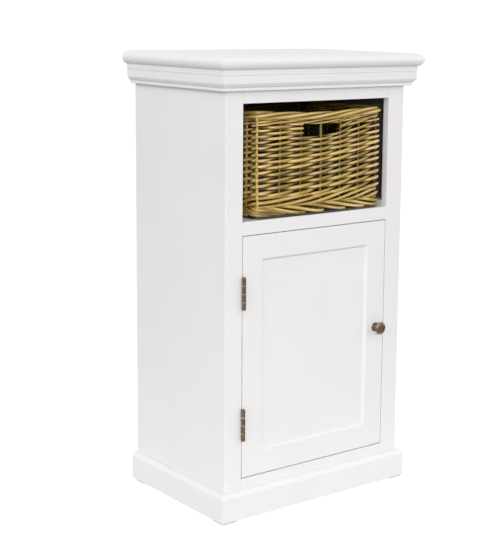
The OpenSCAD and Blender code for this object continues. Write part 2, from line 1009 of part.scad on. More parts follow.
module basket_floor() {
    inset = wall_in + weave_t;
    z0 = basket_z + base_lift;
    color("tan")
        slab([basket_x0 + inset, basket_y0 + inset, z0],
             [basket_x1 - inset, basket_y1 - inset, z0 + base_t]);
}

side_panel_left();
side_panel_right();
back_panel();
bottom_panel();
divider_shelf();
sub_top();
frame_stile_left();
frame_stile_right();
frame_rail_top();
frame_rail_middle();
frame_rail_bottom();
top_board();
crown_front();
crown_left();
crown_right();
plinth_front();
plinth_left();
plinth_right();
plinth_back_rail();
glue_blocks();
foot_pads();
bay_liner_left();
bay_liner_right();
bay_liner_back();
bay_liner_top();
basket_guide_left();
basket_guide_right();
inner_shelf();
shelf_pins();
door_stop();
catch_body();
catch_magnet();
back_screws();
hinge_leaf_frame_upper();
hinge_leaf_frame_lower();
hinge_pin_upper();
hinge_pin_lower();
hinge_rings();
hinge_screws_frame();
door_stile_left();
door_stile_right();
door_rail_top();
door_rail_bottom();
door_panel();
door_beads();
hinge_leaf_door_upper();
hinge_leaf_door_lower();
hinge_screws_door();
knob_rose();
knob();
knob_screw();
catch_strike();
basket_rim();
basket_front();
basket_back();
basket_left();
basket_right();
basket_floor();
basket_border();
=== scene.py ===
"""Dressed model of a bathroom storage tower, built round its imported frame.

Sizes are in millimetres, as in the part's own source: x to the right, depth
from the face frame's front towards the back, and height up from the floor.
"""

import logging
import math
import random
from dataclasses import dataclass, field
from enum import Enum
from typing import ClassVar, Iterable, Sequence

import bmesh
import bpy
from mathutils import Matrix, Vector

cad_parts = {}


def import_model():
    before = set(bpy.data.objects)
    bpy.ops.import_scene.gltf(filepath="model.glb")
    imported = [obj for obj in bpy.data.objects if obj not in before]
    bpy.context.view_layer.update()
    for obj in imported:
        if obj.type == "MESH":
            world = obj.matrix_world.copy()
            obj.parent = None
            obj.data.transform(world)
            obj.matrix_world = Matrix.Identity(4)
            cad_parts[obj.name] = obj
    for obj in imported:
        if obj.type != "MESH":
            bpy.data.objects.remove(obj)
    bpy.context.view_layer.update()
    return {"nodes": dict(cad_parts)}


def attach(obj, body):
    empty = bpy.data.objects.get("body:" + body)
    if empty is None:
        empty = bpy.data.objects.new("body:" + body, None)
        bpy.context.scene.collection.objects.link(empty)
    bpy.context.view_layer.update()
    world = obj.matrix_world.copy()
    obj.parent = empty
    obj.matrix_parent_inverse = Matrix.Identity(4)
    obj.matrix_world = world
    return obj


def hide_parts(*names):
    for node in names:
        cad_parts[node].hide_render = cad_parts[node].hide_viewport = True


log = logging.getLogger("tower")

MM = 0.001
FRONT_Y = -139.5
TO_FRAME = Matrix.Translation((0, FRONT_Y * MM, 0)) @ Matrix.Scale(MM, 4)
X, Y, Z = 0, 1, 2
LEFT, RIGHT = -1, 1

# How near counts as the same place, in millimetres, and the angle of a rod's crisp edges.
BOX_TOLERANCE = 0.02
MITRE_TOLERANCE = 0.01
FACE_TOLERANCE = 0.0001
MERGE_DISTANCE = 0.001
SPIN_MERGE_DISTANCE = 0.0005
ROD_CREASE = 75.0

Colour = tuple[float, float, float]
Profile = Sequence[tuple[float, float]]
Plane = tuple[int, float]
Socket = bpy.types.NodeSocket
Vert = bmesh.types.BMVert
Edge = bmesh.types.BMEdge
Face = bmesh.types.BMFace


class Body(Enum):
    """The bodies that pieces ride on."""

    CABINET = "cabinet"
    DOOR = "door"
    BASKET = "basket"


class Slot(Enum):
    """The record's material slots."""

    PAINT = "white_paint"
    WOOD = "bare_wood"
    LINING = "black_lining"
    WILLOW = "willow"
    ANTIQUE = "antique_brass"
    BRIGHT = "bright_brass"
    ZINC = "zinc_steel"
    PLASTIC = "white_plastic"
    MAGNET = "dark_magnet"
    PAD = "pad_plastic"


class Grain(Enum):
    """The way a board's grain runs, as the squeeze of its pattern on each axis."""

    ACROSS = (12.0, 260.0, 260.0)
    DEEP = (260.0, 12.0, 260.0)
    UPRIGHT = (260.0, 260.0, 12.0)


class Fit(Enum):
    """How a piece's faces meet in the light."""

    BOARD = "flat faces with eased edges"
    TURNED = "round faces with crisp rings"


# ---- Nodes of the finishes ----


class Nodes:
    """Adds nodes to one tree and links their inputs in the same call."""

    def __init__(self, tree: bpy.types.NodeTree) -> None:
        """Keeps the tree that the nodes go into."""
        self.tree = tree

    def add(self, kind: str, inputs: dict | None = None, **settings: object) -> bpy.types.Node:
        """Adds a node.

        Args:
            kind: The node's type without its ShaderNode prefix.
            inputs: A value or an output socket for each input, by name or number.
            settings: The node's own properties.

        Returns:
            The new node.
        """
        node = self.tree.nodes.new(f"ShaderNode{kind}")
        for name, value in settings.items():
            setattr(node, name, value)
        for key, value in (inputs or {}).items():
            self.feed(node.inputs[key], value)
        return node

    def feed(self, socket: Socket, value: object) -> None:
        """Links an output to a socket, or sets its value."""
        if isinstance(value, Socket):
            self.tree.links.new(value, socket)
        else:
            socket.default_value = value

    def noise(self, vector: Socket, scale: float | Socket, detail: float = 3.0,
              distortion: float = 0.0) -> Socket:
        """Returns a noise value from 0 to 1, read along vector."""
        values = {"Vector": vector, "Scale": scale, "Detail": detail, "Distortion": distortion}
        return self.add("TexNoise", values).outputs["Fac"]

    def stretched(self, vector: Socket, scale: Sequence[float]) -> Socket:
        """Returns vector with each axis multiplied by its scale."""
        return self.add("Mapping", {"Vector": vector, "Scale": scale}).outputs["Vector"]

    def math(self, operation: str, a: object, b: object = 0.5, clamp: bool = False) -> Socket:
        """Returns the result of one operation on two values."""
        return self.add("Math", {0: a, 1: b}, operation=operation, use_clamp=clamp).outputs[0]

    def weighted(self, *parts: tuple[object, object]) -> Socket:
        """Returns the sum of values, each multiplied by its weight."""
        terms = [self.math("MULTIPLY", value, weight) for value, weight in parts]
        total = terms[0]
        for term in terms[1:]:
            total = self.math("ADD", total, term)
        return total

    def between(self, value: object, low: float, high: float, start: float = 0.0,
                end: float = 1.0) -> Socket:
        """Returns value carried smoothly from the range low..high to start..end."""
        values = {"Value": value, "From Min": low, "From Max": high, "To Min": start, "To Max": end}
        return self.add("MapRange", values, interpolation_type="SMOOTHSTEP").outputs["Result"]

    def blend(self, factor: object, a: object, b: object, kind: str = "MIX") -> Socket:
        """Returns two colours mixed by factor."""
        first = (*a, 1.0) if isinstance(a, tuple) else a
        second = (*b, 1.0) if isinstance(b, tuple) else b
        node = self.add("Mix", {0: factor, 6: first, 7: second}, data_type="RGBA", blend_type=kind)
        return node.outputs[2]

    def bump(self, height: Socket, distance: float, strength: float = 1.0) -> Socket:
        """Returns the normal of a surface whose relief is distance metres deep."""
        values = {"Height": height, "Distance": distance, "Strength": strength}
        return self.add("Bump", values).outputs["Normal"]

    def effect(self, name: str, **inputs: object) -> bpy.types.Node:
        """Places an effect's group and sets its inputs, whose names have _ for a space."""
        node = self.add("Group", node_tree=Effects.group(name))
        for key, value in inputs.items():
            self.feed(node.inputs[key.replace("_", " ")], value)
        return node


Given = bpy.types.NodeOutputs
Made = dict[str, Socket]


class Effects:
    """The node groups that the finishes share, each filled by the method of its name.

    Attributes:
        inputs: Each group's inputs with their defaults, or None for a vector.
    """

    inputs: ClassVar[dict[str, dict[str, float | None]]] = {
        "sprayed_film": {"Place": None, "Along grain": None, "Peel depth": 0.35,
                         "Grain depth": 0.8},
        "wood_fibre": {"Along grain": None, "Rings": 9.0},
        "worn_metal": {"Place": None, "Wear": 0.0},
        "willow_bark": {"Rod": None},
        "fine_tooth": {"Place": None, "Scale": 1500.0},
    }

    @classmethod
    def group(cls, name: str) -> bpy.types.NodeTree:
        """Makes a group, or returns the one made before.

        Args:
            name: The group's name, which is that of the method that fills it.

        Returns:
            The group's node tree.
        """
        made = bpy.data.node_groups.get(name)
        if made is not None:
            return made
        tree = bpy.data.node_groups.new(name, "ShaderNodeTree")
        for key, default in cls.inputs[name].items():
            kind = "NodeSocketVector" if default is None else "NodeSocketFloat"
            socket = tree.interface.new_socket(key, in_out="INPUT", socket_type=kind)
            if default is not None:
                socket.default_value = default
        fill = getattr(cls, name)
        outputs = fill(Nodes(tree), tree.nodes.new("NodeGroupInput").outputs)
        for key in outputs:
            tree.interface.new_socket(key, in_out="OUTPUT", socket_type="NodeSocketFloat")
        end = tree.nodes.new("NodeGroupOutput")
        for key, socket in outputs.items():
            tree.links.new(socket, end.inputs[key])
        return tree

    @staticmethod
    def sprayed_film(nodes: Nodes, given: Given) -> Made:
        """Returns the film of sprayed paint: cloudy shade, fine peel and faint grain below."""
        place = given["Place"]
        peel = nodes.noise(place, scale=620.0, detail=2.0)
        grain = nodes.noise(given["Along grain"], scale=1.0, detail=4.0, distortion=0.3)
        cloud = nodes.noise(place, scale=7.0)
        ripple = nodes.noise(place, scale=26.0, detail=1.0)
        relief = nodes.weighted((peel, given["Peel depth"]), (grain, given["Grain depth"]),
                                (ripple, 1.4))
        mixed = nodes.weighted((cloud, 0.7), (grain, 0.3))
        return {"Shade": nodes.between(mixed, 0.3, 0.7), "Relief": relief, "Sheen": peel}

    @staticmethod
    def wood_fibre(nodes: Nodes, given: Given) -> Made:
        """Returns the growth rings and fibres of bare wood."""
        along = given["Along grain"]
        bend = nodes.noise(along, scale=0.06, detail=2.0)
        rings = nodes.math("FRACT", nodes.math("MULTIPLY", bend, given["Rings"]), 0.0)
        fibre = nodes.noise(along, scale=1.6, detail=5.0, distortion=0.2)
        return {"Ring": nodes.between(rings, 0.1, 0.95), "Fibre": fibre}

    @staticmethod
    def worn_metal(nodes: Nodes, given: Given) -> Made:
        """Returns where a metal's dark skin has worn, its stains and its fine relief."""
        place = given["Place"]
        patches = nodes.noise(place, scale=210.0, detail=4.0, distortion=0.6)
        stain = nodes.noise(place, scale=300.0, detail=4.0)
        pits = nodes.noise(place, scale=1900.0, detail=2.0)
        worn = nodes.math("ADD", patches, given["Wear"])
        return {"Worn": nodes.between(worn, 0.55, 0.8), "Stain": stain, "Relief": pits}

    @staticmethod
    def willow_bark(nodes: Nodes, given: Given) -> Made:
        """Returns a willow rod's streaks, bud scars, blotches and relief, read along the rod."""
        rod = given["Rod"]
        streak = nodes.noise(nodes.stretched(rod, (900.0, 900.0, 45.0)), scale=1.0)
        blotch = nodes.noise(nodes.stretched(rod, (90.0, 90.0, 26.0)), scale=1.0, detail=2.0)
        buds = {"Vector": nodes.stretched(rod, (160.0, 160.0, 17.0)), "Scale": 1.0,
                "Randomness": 1.0}
        scar = nodes.between(nodes.add("TexVoronoi", buds).outputs["Distance"], 0.16, 0.07)
        relief = nodes.math("SUBTRACT", streak, nodes.math("MULTIPLY", scar, 0.8))
        return {"Streak": streak, "Blotch": blotch, "Scar": scar, "Relief": relief}

    @staticmethod
    def fine_tooth(nodes: Nodes, given: Given) -> Made:
        """Returns the fine tooth of moulded plastic, stain and ground ferrite, and its smudges."""
        tooth = nodes.noise(given["Place"], scale=given["Scale"])
        smudge = nodes.noise(given["Place"], scale=40.0, distortion=0.4)
        return {"Tooth": tooth, "Smudge": nodes.between(smudge, 0.35, 0.7)}


# ---- Finishes ----


@dataclass(frozen=True)
class Finish:
    """A finish of the object, finely toothed until a kind of finish gives it its own pattern.

    Attributes:
        name: The material's name.
        slot: The record's slot that it belongs to.
        colour: Its main colour, linear.
        rough: Its roughness.
        metallic: 1 for bare metal.
        coat: The weight of a clear coat over it.
    """

    name: str
    slot: Slot
    colour: Colour
    rough: float
    metallic: float = 0.0
    coat: float = 0.0
    coat_rough: ClassVar[float] = 0.25
    relief: ClassVar[float] = 0.00003

    def material(self) -> bpy.types.Material:
        """Returns the finish's material, made the first time that it is asked for."""
        made = bpy.data.materials.get(self.name)
        if made is not None:
            return made
        made = bpy.data.materials.new(self.name)
        made.use_nodes = True
        made.node_tree.nodes.clear()
        made.diffuse_color = (*self.colour, 1.0)
        nodes = Nodes(made.node_tree)
        values = {"Metallic": self.metallic, "Coat Weight": self.coat,
                  "Coat Roughness": self.coat_rough}
        shader = nodes.add("BsdfPrincipled", values)
        place = nodes.add("TexCoord").outputs["Object"]
        for key, socket in self.pattern(nodes, place).items():
            made.node_tree.links.new(socket, shader.inputs[key])
        nodes.add("OutputMaterial", {"Surface": shader.outputs["BSDF"]})
        return made

    def toned(self, *shares: float) -> Colour:
        """Returns the main colour times one share, or times one for each channel."""
        return tuple(c * share for c, share in zip(self.colour, shares * (3 // len(shares))))

    def roughness(self, nodes: Nodes, value: Socket, less: float, more: float) -> Socket:
        """Returns the roughness, going from less below its mean to more above it with value."""
        return nodes.between(value, 0.3, 0.7, self.rough - less, self.rough + more)

    def pattern(self, nodes: Nodes, place: Socket) -> Made:
        """Builds the finish's pattern.

        Args:
            nodes: The material's nodes.
            place: The point on the piece.

        Returns:
            The sockets that feed the shader, by input.
        """
        tooth = nodes.effect("fine_tooth", Place=place)
        return {
            "Base Color": nodes.blend(tooth.outputs["Smudge"], self.toned(0.86), self.colour),
            "Roughness": self.roughness(nodes, tooth.outputs["Tooth"], 0.06, 0.06),
            "Normal": nodes.bump(tooth.outputs["Tooth"], self.relief),
        }


@dataclass(frozen=True)
class Paint(Finish):
    """Sprayed satin paint over wood.

    Attributes:
        grain: The way the wood's grain runs below the paint.
    """

    grain: Grain = Grain.UPRIGHT
    relief: ClassVar[float] = 0.00002

    def pattern(self, nodes: Nodes, place: Socket) -> Made:
        """Returns the shader's inputs for a sprayed film with faint grain below it."""
        along = nodes.stretched(place, self.grain.value)
        film = nodes.effect("sprayed_film", Place=place, Along_grain=along)
        shaded = self.toned(0.975, 0.974, 0.97)
        return {
            "Base Color": nodes.blend(film.outputs["Shade"], shaded, self.colour),
            "Roughness": self.roughness(nodes, film.outputs["Sheen"], 0.05, 0.05),
            "Normal": nodes.bump(film.outputs["Relief"], self.relief),
        }


@dataclass(frozen=True)
class BareWood(Finish):
    """Sanded wood without paint.

    Attributes:
        grain: The way its grain runs.
    """

    grain: Grain = Grain.ACROSS
    relief: ClassVar[float] = 0.00012

    def pattern(self, nodes: Nodes, place: Socket) -> Made:
        """Returns the shader's inputs for rings and fibres along the grain."""
        along = nodes.stretched(place, self.grain.value)
        wood = nodes.effect("wood_fibre", Along_grain=along)
        late_wood = self.toned(0.66, 0.56, 0.46)
        rings = nodes.blend(wood.outputs["Ring"], self.colour, late_wood)
        fibre = nodes.between(wood.outputs["Fibre"], 0.35, 0.7, 0.0, 0.45)
        return {
            "Base Color": nodes.blend(fibre, rings, self.toned(0.8)),
            "Roughness": self.roughness(nodes, wood.outputs["Fibre"], 0.1, 0.08),
            "Normal": nodes.bump(wood.outputs["Fibre"], self.relief),
        }


@dataclass(frozen=True)
class Willow(Finish):
    """Golden varnished willow, each rod with its own tone, painted shade and painted highlight.

    Attributes:
        dark: The deepest tone, linear.
        light: The palest tone, linear.
        stain: The near-black tone painted on rods as painted shade, linear.
        painted_highlight: The light tone of the painted highlight where rods bend outwards, linear.
        scar: The tone of bud scars, linear.
    """

    dark: Colour = (0.2, 0.138, 0.022)
    light: Colour = (0.7, 0.47, 0.12)
    stain: Colour = (0.026, 0.016, 0.006)
    painted_highlight: Colour = (0.92, 0.68, 0.37)
    scar: Colour = (0.07, 0.035, 0.012)
    relief: ClassVar[float] = 0.00022

    def pattern(self, nodes: Nodes, place: Socket) -> Made:
        """Returns the shader's inputs for bark that follows each rod."""
        rod = nodes.add("Attribute", attribute_name="rod").outputs["Vector"]
        tone, tuck_shade, painted_sheen = (nodes.add("Attribute", attribute_name=layer).outputs["Fac"]
                           for layer in ("tone", "tuck_shade", "painted_sheen"))
        bark = nodes.effect("willow_bark", Rod=rod)
        streak, blotch, scar = (bark.outputs[key] for key in ("Streak", "Blotch", "Scar"))
        drift = nodes.weighted((blotch, 0.7), (tone, 0.65))
        low = nodes.blend(nodes.between(drift, 0.35, 0.75), self.dark, self.colour)
        body = nodes.blend(nodes.between(drift, 0.6, 1.05), low, self.light)
        streaked = nodes.blend(nodes.between(streak, 0.62, 0.36, 0.0, 0.5), body,
                               self.toned(0.55))
        # Painted highlight: the bark turns light where the rod bends outwards and its skin faces
        # out.
        sheen_mask = nodes.math("MULTIPLY", painted_sheen, nodes.between(streak, 0.3, 0.55, 0.35, 1.0),
                             clamp=True)
        painted_lift = nodes.blend(sheen_mask, streaked, self.painted_highlight)
        scarred = nodes.blend(nodes.math("MULTIPLY", scar, 0.75), painted_lift, self.scar)
        # Painted shade: the bark darkens to the near-black tone by each point's shade layer.
        shade_share = nodes.math("MULTIPLY", tuck_shade, 0.96, clamp=True)
        return {
            "Base Color": nodes.blend(shade_share, scarred, self.stain),
            "Roughness": self.roughness(nodes, streak, 0.08, 0.14),
            "Normal": nodes.bump(bark.outputs["Relief"], self.relief),
        }


@dataclass(frozen=True)
class Metal(Finish):
    """Metal with a skin that wears through to brighter metal.

    Attributes:
        bright: The colour where the skin has worn, linear.
        wear: How far it has worn.
        tarnish: The share of its brightness that tarnished patches keep.
    """

    bright: Colour = (0.5, 0.36, 0.2)
    wear: float = 0.0
    tarnish: float = 0.6
    relief: ClassVar[float] = 0.00004

    def pattern(self, nodes: Nodes, place: Socket) -> Made:
        """Returns the shader's inputs for a stained skin with worn places."""
        skin = nodes.effect("worn_metal", Place=place, Wear=self.wear)
        stain = skin.outputs["Stain"]
        spread = nodes.between(stain, 0.4, 0.58)
        stained = nodes.blend(spread, self.toned(self.tarnish), self.colour)
        return {
            "Base Color": nodes.blend(skin.outputs["Worn"], stained, self.bright),
            "Roughness": self.roughness(nodes, stain, -0.1, -0.08),
            "Normal": nodes.bump(skin.outputs["Relief"], self.relief),
        }


PAINT_WHITE: Colour = (0.8, 0.787, 0.786)
WOOD_COLOUR: Colour = (0.56, 0.39, 0.22)

PAINT_UPRIGHT = Paint("paint_upright", Slot.PAINT, PAINT_WHITE, 0.4, grain=Grain.UPRIGHT)
PAINT_ACROSS = Paint("paint_across", Slot.PAINT, PAINT_WHITE, 0.4, grain=Grain.ACROSS)
PAINT_DEEP = Paint("paint_deep", Slot.PAINT, PAINT_WHITE, 0.4, grain=Grain.DEEP)
WOOD_ACROSS = BareWood("wood_across", Slot.WOOD, WOOD_COLOUR, 0.62, grain=Grain.ACROSS)
WOOD_UPRIGHT = BareWood("wood_upright", Slot.WOOD, WOOD_COLOUR, 0.62, grain=Grain.UPRIGHT)
# Near-black finish of the liners along the basket bay's sides.
LINING = Finish("near_black_lining", Slot.LINING, (0.125, 0.104, 0.096), 0.55)
WILLOW = Willow("golden_willow", Slot.WILLOW, (0.475, 0.305, 0.048), 0.34, coat=0.3)
ANTIQUE_BRASS = Metal("dark_brass", Slot.ANTIQUE, (0.38, 0.285, 0.22), 0.31, metallic=1.0,
                      bright=(0.5, 0.38, 0.28), tarnish=0.3)
WORN_BRASS = Metal("worn_brass", Slot.BRIGHT, (0.68, 0.41, 0.19), 0.38, metallic=1.0,
                   bright=(0.95, 0.68, 0.38), wear=0.08)
ZINC = Metal("zinc_plate", Slot.ZINC, (0.5, 0.52, 0.54), 0.34, metallic=1.0,
             bright=(0.75, 0.76, 0.78))
CATCH_PLASTIC = Finish("catch_plastic", Slot.PLASTIC, (0.78, 0.78, 0.76), 0.42)
FERRITE = Finish("ferrite", Slot.MAGNET, (0.05, 0.05, 0.055), 0.5)
PAD = Finish("foot_pad", Slot.PAD, (0.5, 0.5, 0.5), 0.7)

# The finish of a CAD node that keeps its shape, by its slot, and where its grain runs otherwise.
SLOT_FINISH: dict[str, Finish] = {
    finish.slot.value: finish
    for finish in (PAINT_UPRIGHT, WOOD_ACROSS, LINING, WILLOW, ANTIQUE_BRASS, WORN_BRASS, ZINC,
                   CATCH_PLASTIC, FERRITE, PAD)
}
NODE_FINISH: dict[str, Finish] = {"glue_blocks": WOOD_UPRIGHT}


# ---- Shapes ----


def frame_at(origin: Vector, across: Vector, up: Vector, along: Vector) -> Matrix:
    """Returns the matrix whose columns are three axes and an origin."""
    return Matrix.Translation(origin) @ Matrix((across, up, along)).transposed().to_4x4()


def smooth(value: float) -> float:
    """Returns value eased between 0 and 1."""
    t = min(1.0, max(0.0, value))
    return t * t * (3.0 - 2.0 * t)


def arc(centre: tuple[float, float], radius: float, start: float, end: float,
        steps: int) -> list[tuple[float, float]]:
    """Returns the points of an arc.

    Args:
        centre: Its centre.
        radius: Its radius.
        start: The angle that it starts at, in degrees.
        end: The angle that it ends at, in degrees.
        steps: The steps between its points.

    Returns:
        The points, with both ends.
    """
    angles = [math.radians(start + (end - start) * i / steps) for i in range(steps + 1)]
    return [(centre[0] + radius * math.cos(a), centre[1] + radius * math.sin(a)) for a in angles]


def level(edge: Edge) -> bool:
    """Returns whether both ends of an edge lie at one height."""
    return abs(edge.verts[0].co.z - edge.verts[1].co.z) < BOX_TOLERANCE


class Shape:
    """A mesh being modelled, in millimetres from the face frame's front."""

    def __init__(self) -> None:
        """Starts an empty mesh."""
        self.bm = bmesh.new()

    @classmethod
    def from_node(cls, node: bpy.types.Object) -> "Shape":
        """Returns a merged copy of a CAD node's mesh, with its flat faces joined."""
        shape = cls()
        shape.bm.from_mesh(node.data)
        bmesh.ops.transform(shape.bm, matrix=TO_FRAME.inverted(), verts=shape.bm.verts)
        bmesh.ops.remove_doubles(shape.bm, verts=shape.bm.verts, dist=MERGE_DISTANCE)
        bmesh.ops.dissolve_limit(shape.bm, angle_limit=math.radians(1.0), verts=shape.bm.verts,
                                 edges=shape.bm.edges, delimit=set())
        return shape

    def extent(self) -> tuple[Vector, Vector]:
        """Returns the lowest and highest corner of the mesh."""
        spans = [[v.co[axis] for v in self.bm.verts] for axis in (X, Y, Z)]
        return Vector([min(span) for span in spans]), Vector([max(span) for span in spans])

    def block(self, low: Sequence[float], high: Sequence[float]) -> None:
        """Adds a box from its low corner to its high corner."""
        lo, hi = Vector(low), Vector(high)
        verts = bmesh.ops.create_cube(self.bm, size=1.0)["verts"]
        bmesh.ops.scale(self.bm, vec=hi - lo, verts=verts)
        bmesh.ops.translate(self.bm, vec=(lo + hi) / 2, verts=verts)

    def bevel(self, edges: Sequence[Edge], size: float, segments: int) -> None:
        """Rounds edges by size, in that many segments."""
        if edges:
            bmesh.ops.bevel(self.bm, geom=edges, offset=size, offset_type="OFFSET",
                            segments=segments, profile=0.5, affect="EDGES", clamp_overlap=True,
                            material=-1)

    def soften(self, size: float, glued: Sequence[Plane] = (), segments: int = 2) -> None:
        """Eases the edges of a board's own box.

        Args:
            size: The size of the easing.
            glued: Planes, as axis and place, that other pieces cover: their edges stay sharp.
            segments: The segments of the easing.
        """
        low, high = self.extent()
        planes = [(axis, corner[axis]) for corner in (low, high) for axis in (X, Y, Z)]

        def on(edge: Edge, plane: Plane) -> bool:
            """Returns whether both ends of an edge lie on a plane."""
            axis, place = plane
            return all(abs(v.co[axis] - place) < BOX_TOLERANCE for v in edge.verts)

        chosen = [edge for edge in self.bm.edges
                  if sum(on(edge, plane) for plane in planes) == 2
                  and not any(on(edge, plane) for plane in glued)]
        self.bevel(chosen, size, segments)

    def sweep(self, profile: Profile, stations: Sequence[Matrix]) -> None:
        """Carries a closed outline through stations and closes both ends.

        Args:
            profile: The outline's points, in the stations' first and third axes.
            stations: The place of the outline at each stage.
        """
        verts = [self.bm.verts.new((r, 0.0, z)) for r, z in profile]
        edges = [self.bm.edges.new((a, b)) for a, b in zip(verts, verts[1:] + verts[:1])]
        bmesh.ops.transform(self.bm, matrix=stations[0], verts=verts)
        bmesh.ops.contextual_create(self.bm, geom=edges)
        for before, after in zip(stations, stations[1:]):
            made = bmesh.ops.extrude_edge_only(self.bm, edges=edges)["geom"]
            verts = [g for g in made if isinstance(g, Vert)]
            edges = [g for g in made if isinstance(g, Edge) and g.is_boundary]
            bmesh.ops.transform(self.bm, matrix=after @ before.inverted(), verts=verts)
        bmesh.ops.contextual_create(self.bm, geom=edges)

    def lathe(self, outline: Profile, origin: Sequence[float], along: Sequence[float],
              steps: int = 28) -> None:
        """Spins an outline into a closed turned shape.

        Args:
            outline: (radius, distance) points from axis to axis, or, for a bored shape, back to
                the first point.
            origin: The point on the axis at distance 0.
            along: The axis.
            steps: The steps of the full turn.
        """
        axis = Vector(along).normalized()
        side = axis.orthogonal().normalized()
        start = Vector(origin)
        ring = outline[0] == outline[-1]
        verts = [self.bm.verts.new(start + side * r + axis * d) for r, d in outline[ring:]]
        edges = [self.bm.edges.new(pair) for pair in zip(verts, verts[1:])]
        if ring:
            edges.append(self.bm.edges.new((verts[-1], verts[0])))
        bmesh.ops.spin(self.bm, geom=verts + edges, cent=start, axis=axis, angle=math.tau,
                       steps=steps, use_merge=True, use_duplicate=False)
        bmesh.ops.remove_doubles(self.bm, verts=self.bm.verts, dist=SPIN_MERGE_DISTANCE)

    def move(self, verts: Iterable[Vert], by: Sequence[float]) -> None:
        """Moves vertices."""
        bmesh.ops.translate(self.bm, vec=Vector(by), verts=list(verts))

    def join(self, other: bmesh.types.BMesh, at: Matrix = Matrix.Identity(4)) -> None:
        """Adds a copy of another mesh, placed by a matrix."""
        mesh = bpy.data.meshes.new("copy")
        other.to_mesh(mesh)
        mesh.transform(at)
        self.bm.from_mesh(mesh)
        bpy.data.meshes.remove(mesh)

    def to_mesh(self, name: str) -> bpy.types.Mesh:
        """Returns the finished mesh in metres in the row frame, its faces pointing outwards."""
        bmesh.ops.recalc_face_normals(self.bm, faces=self.bm.faces)
        bmesh.ops.transform(self.bm, matrix=TO_FRAME, verts=self.bm.verts)
        for face in self.bm.faces:
            face.smooth = True
        mesh = bpy.data.meshes.new(name)
        self.bm.to_mesh(mesh)
        self.bm.free()
        return mesh


@dataclass
class Tower:
    """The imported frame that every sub-assembly is built round.

    Attributes:
        nodes: The CAD nodes' objects, by name.
    """

    nodes: dict[str, bpy.types.Object]

    def dress_rest(self) -> None:
        """Gives each CAD node that still shows its finish."""
        for name, node in sorted(self.nodes.items()):
            if node.hide_render:
                continue
            slot = node.material_slots[0].material.name.split(".")[0]
            finish = NODE_FINISH.get(name, SLOT_FINISH[slot])
            node.material_slots[0].material = finish.material()
            log.info("node %s keeps its shape, in %s", name, finish.name)


@dataclass
class SubAssembly:
    """A group of pieces on one body.

    Attributes:
        tower: The frame that they belong to.
    """

    body: ClassVar[Body] = Body.CABINET
    tower: Tower

    def add(self, shape: Shape, name: str, finish: Finish, nodes: Sequence[str],
            fit: Fit = Fit.BOARD, crease: float = 32.0) -> None:
        """Makes a shape a piece of the object.

        Args:
            shape: The finished shape.
            name: The piece's name.
            finish: Its finish.
            nodes: The CAD nodes that it stands for.
            fit: How its faces meet.
            crease: The angle above which an edge stays crisp, in degrees.
        """
        mesh = shape.to_mesh(name)
        mesh.set_sharp_from_angle(angle=math.radians(crease))
        mesh.materials.append(finish.material())
        piece = bpy.data.objects.new(name, mesh)
        bpy.context.scene.collection.objects.link(piece)
        if fit is Fit.BOARD:
            weighted = piece.modifiers.new("even light", "WEIGHTED_NORMAL")
            weighted.keep_sharp = True
        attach(piece, self.body.value)
        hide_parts(*nodes)
        log.info("piece %s: %d faces, %s", name, len(mesh.polygons), finish.name)

    def softened(self, node: str, finish: Finish, size: float,
                 glued: Sequence[Plane] = ()) -> None:
        """Replaces a board's node by a copy with eased edges.

        Args:
            node: The board's CAD node.
            finish: Its finish.
            size: The size of the easing.
            glued: The planes that other pieces cover.
        """
        shape = Shape.from_node(self.tower.nodes[node])
        shape.soften(size, glued)
        self.add(shape, f"{node}_eased", finish, [node])


# ---- Carcass and face frame ----


@dataclass
class Carcass(SubAssembly):
    """Sides, shelves, back and pads behind the face frame.

    Attributes:
        frame_t: The face frame's thickness.
        ease: The easing of the boards' edges.
        panel_ease: The easing of the panels' edges.
        liner_ease: The easing of the lining's edges.
        catch_ease: The easing of the catch's edges.
        pad_round: The rounding of the pads' corners.
        pad_ease: The easing of the pads' lower edges.
    """

    frame_t: float = 15.0
    ease: float = 0.8
    panel_ease: float = 0.4
    liner_ease: float = 0.3
    catch_ease: float = 1.0
    pad_round: float = 4.0
    pad_ease: float = 0.6

    def build(self) -> None:
        """Builds the carcass's pieces."""
        behind_frame = [(Y, self.frame_t)]
        for side in ("left", "right"):
            self.softened(f"side_panel_{side}", PAINT_UPRIGHT, self.ease, behind_frame)
        for node, finish in (("bottom_panel", PAINT_ACROSS), ("divider_shelf", PAINT_ACROSS),
                             ("back_panel", PAINT_UPRIGHT)):
            self.softened(node, finish, self.panel_ease, behind_frame)
        self.softened("inner_shelf", PAINT_ACROSS, self.ease)
        self.softened("door_stop", PAINT_ACROSS, self.ease)
        self.softened("catch_body", CATCH_PLASTIC, self.catch_ease)
        for side in ("left", "right"):
            self.softened(f"basket_guide_{side}", PAINT_DEEP, self.ease, behind_frame)
            self.softened(f"bay_liner_{side}", LINING, self.liner_ease)
        self.pads()

    def pads(self) -> None:
        """Builds the pads under the corners, with rounded edges."""
        shape = Shape.from_node(self.tower.nodes["foot_pads"])
        upright = [e for e in shape.bm.edges if not level(e)]
        shape.bevel(upright, self.pad_round, 4)
        lower = [e for e in shape.bm.edges if max(v.co.z for v in e.verts) < BOX_TOLERANCE]
        shape.bevel(lower, self.pad_ease, 2)
        self.add(shape, "foot_pads_rounded", PAD, ["foot_pads"])


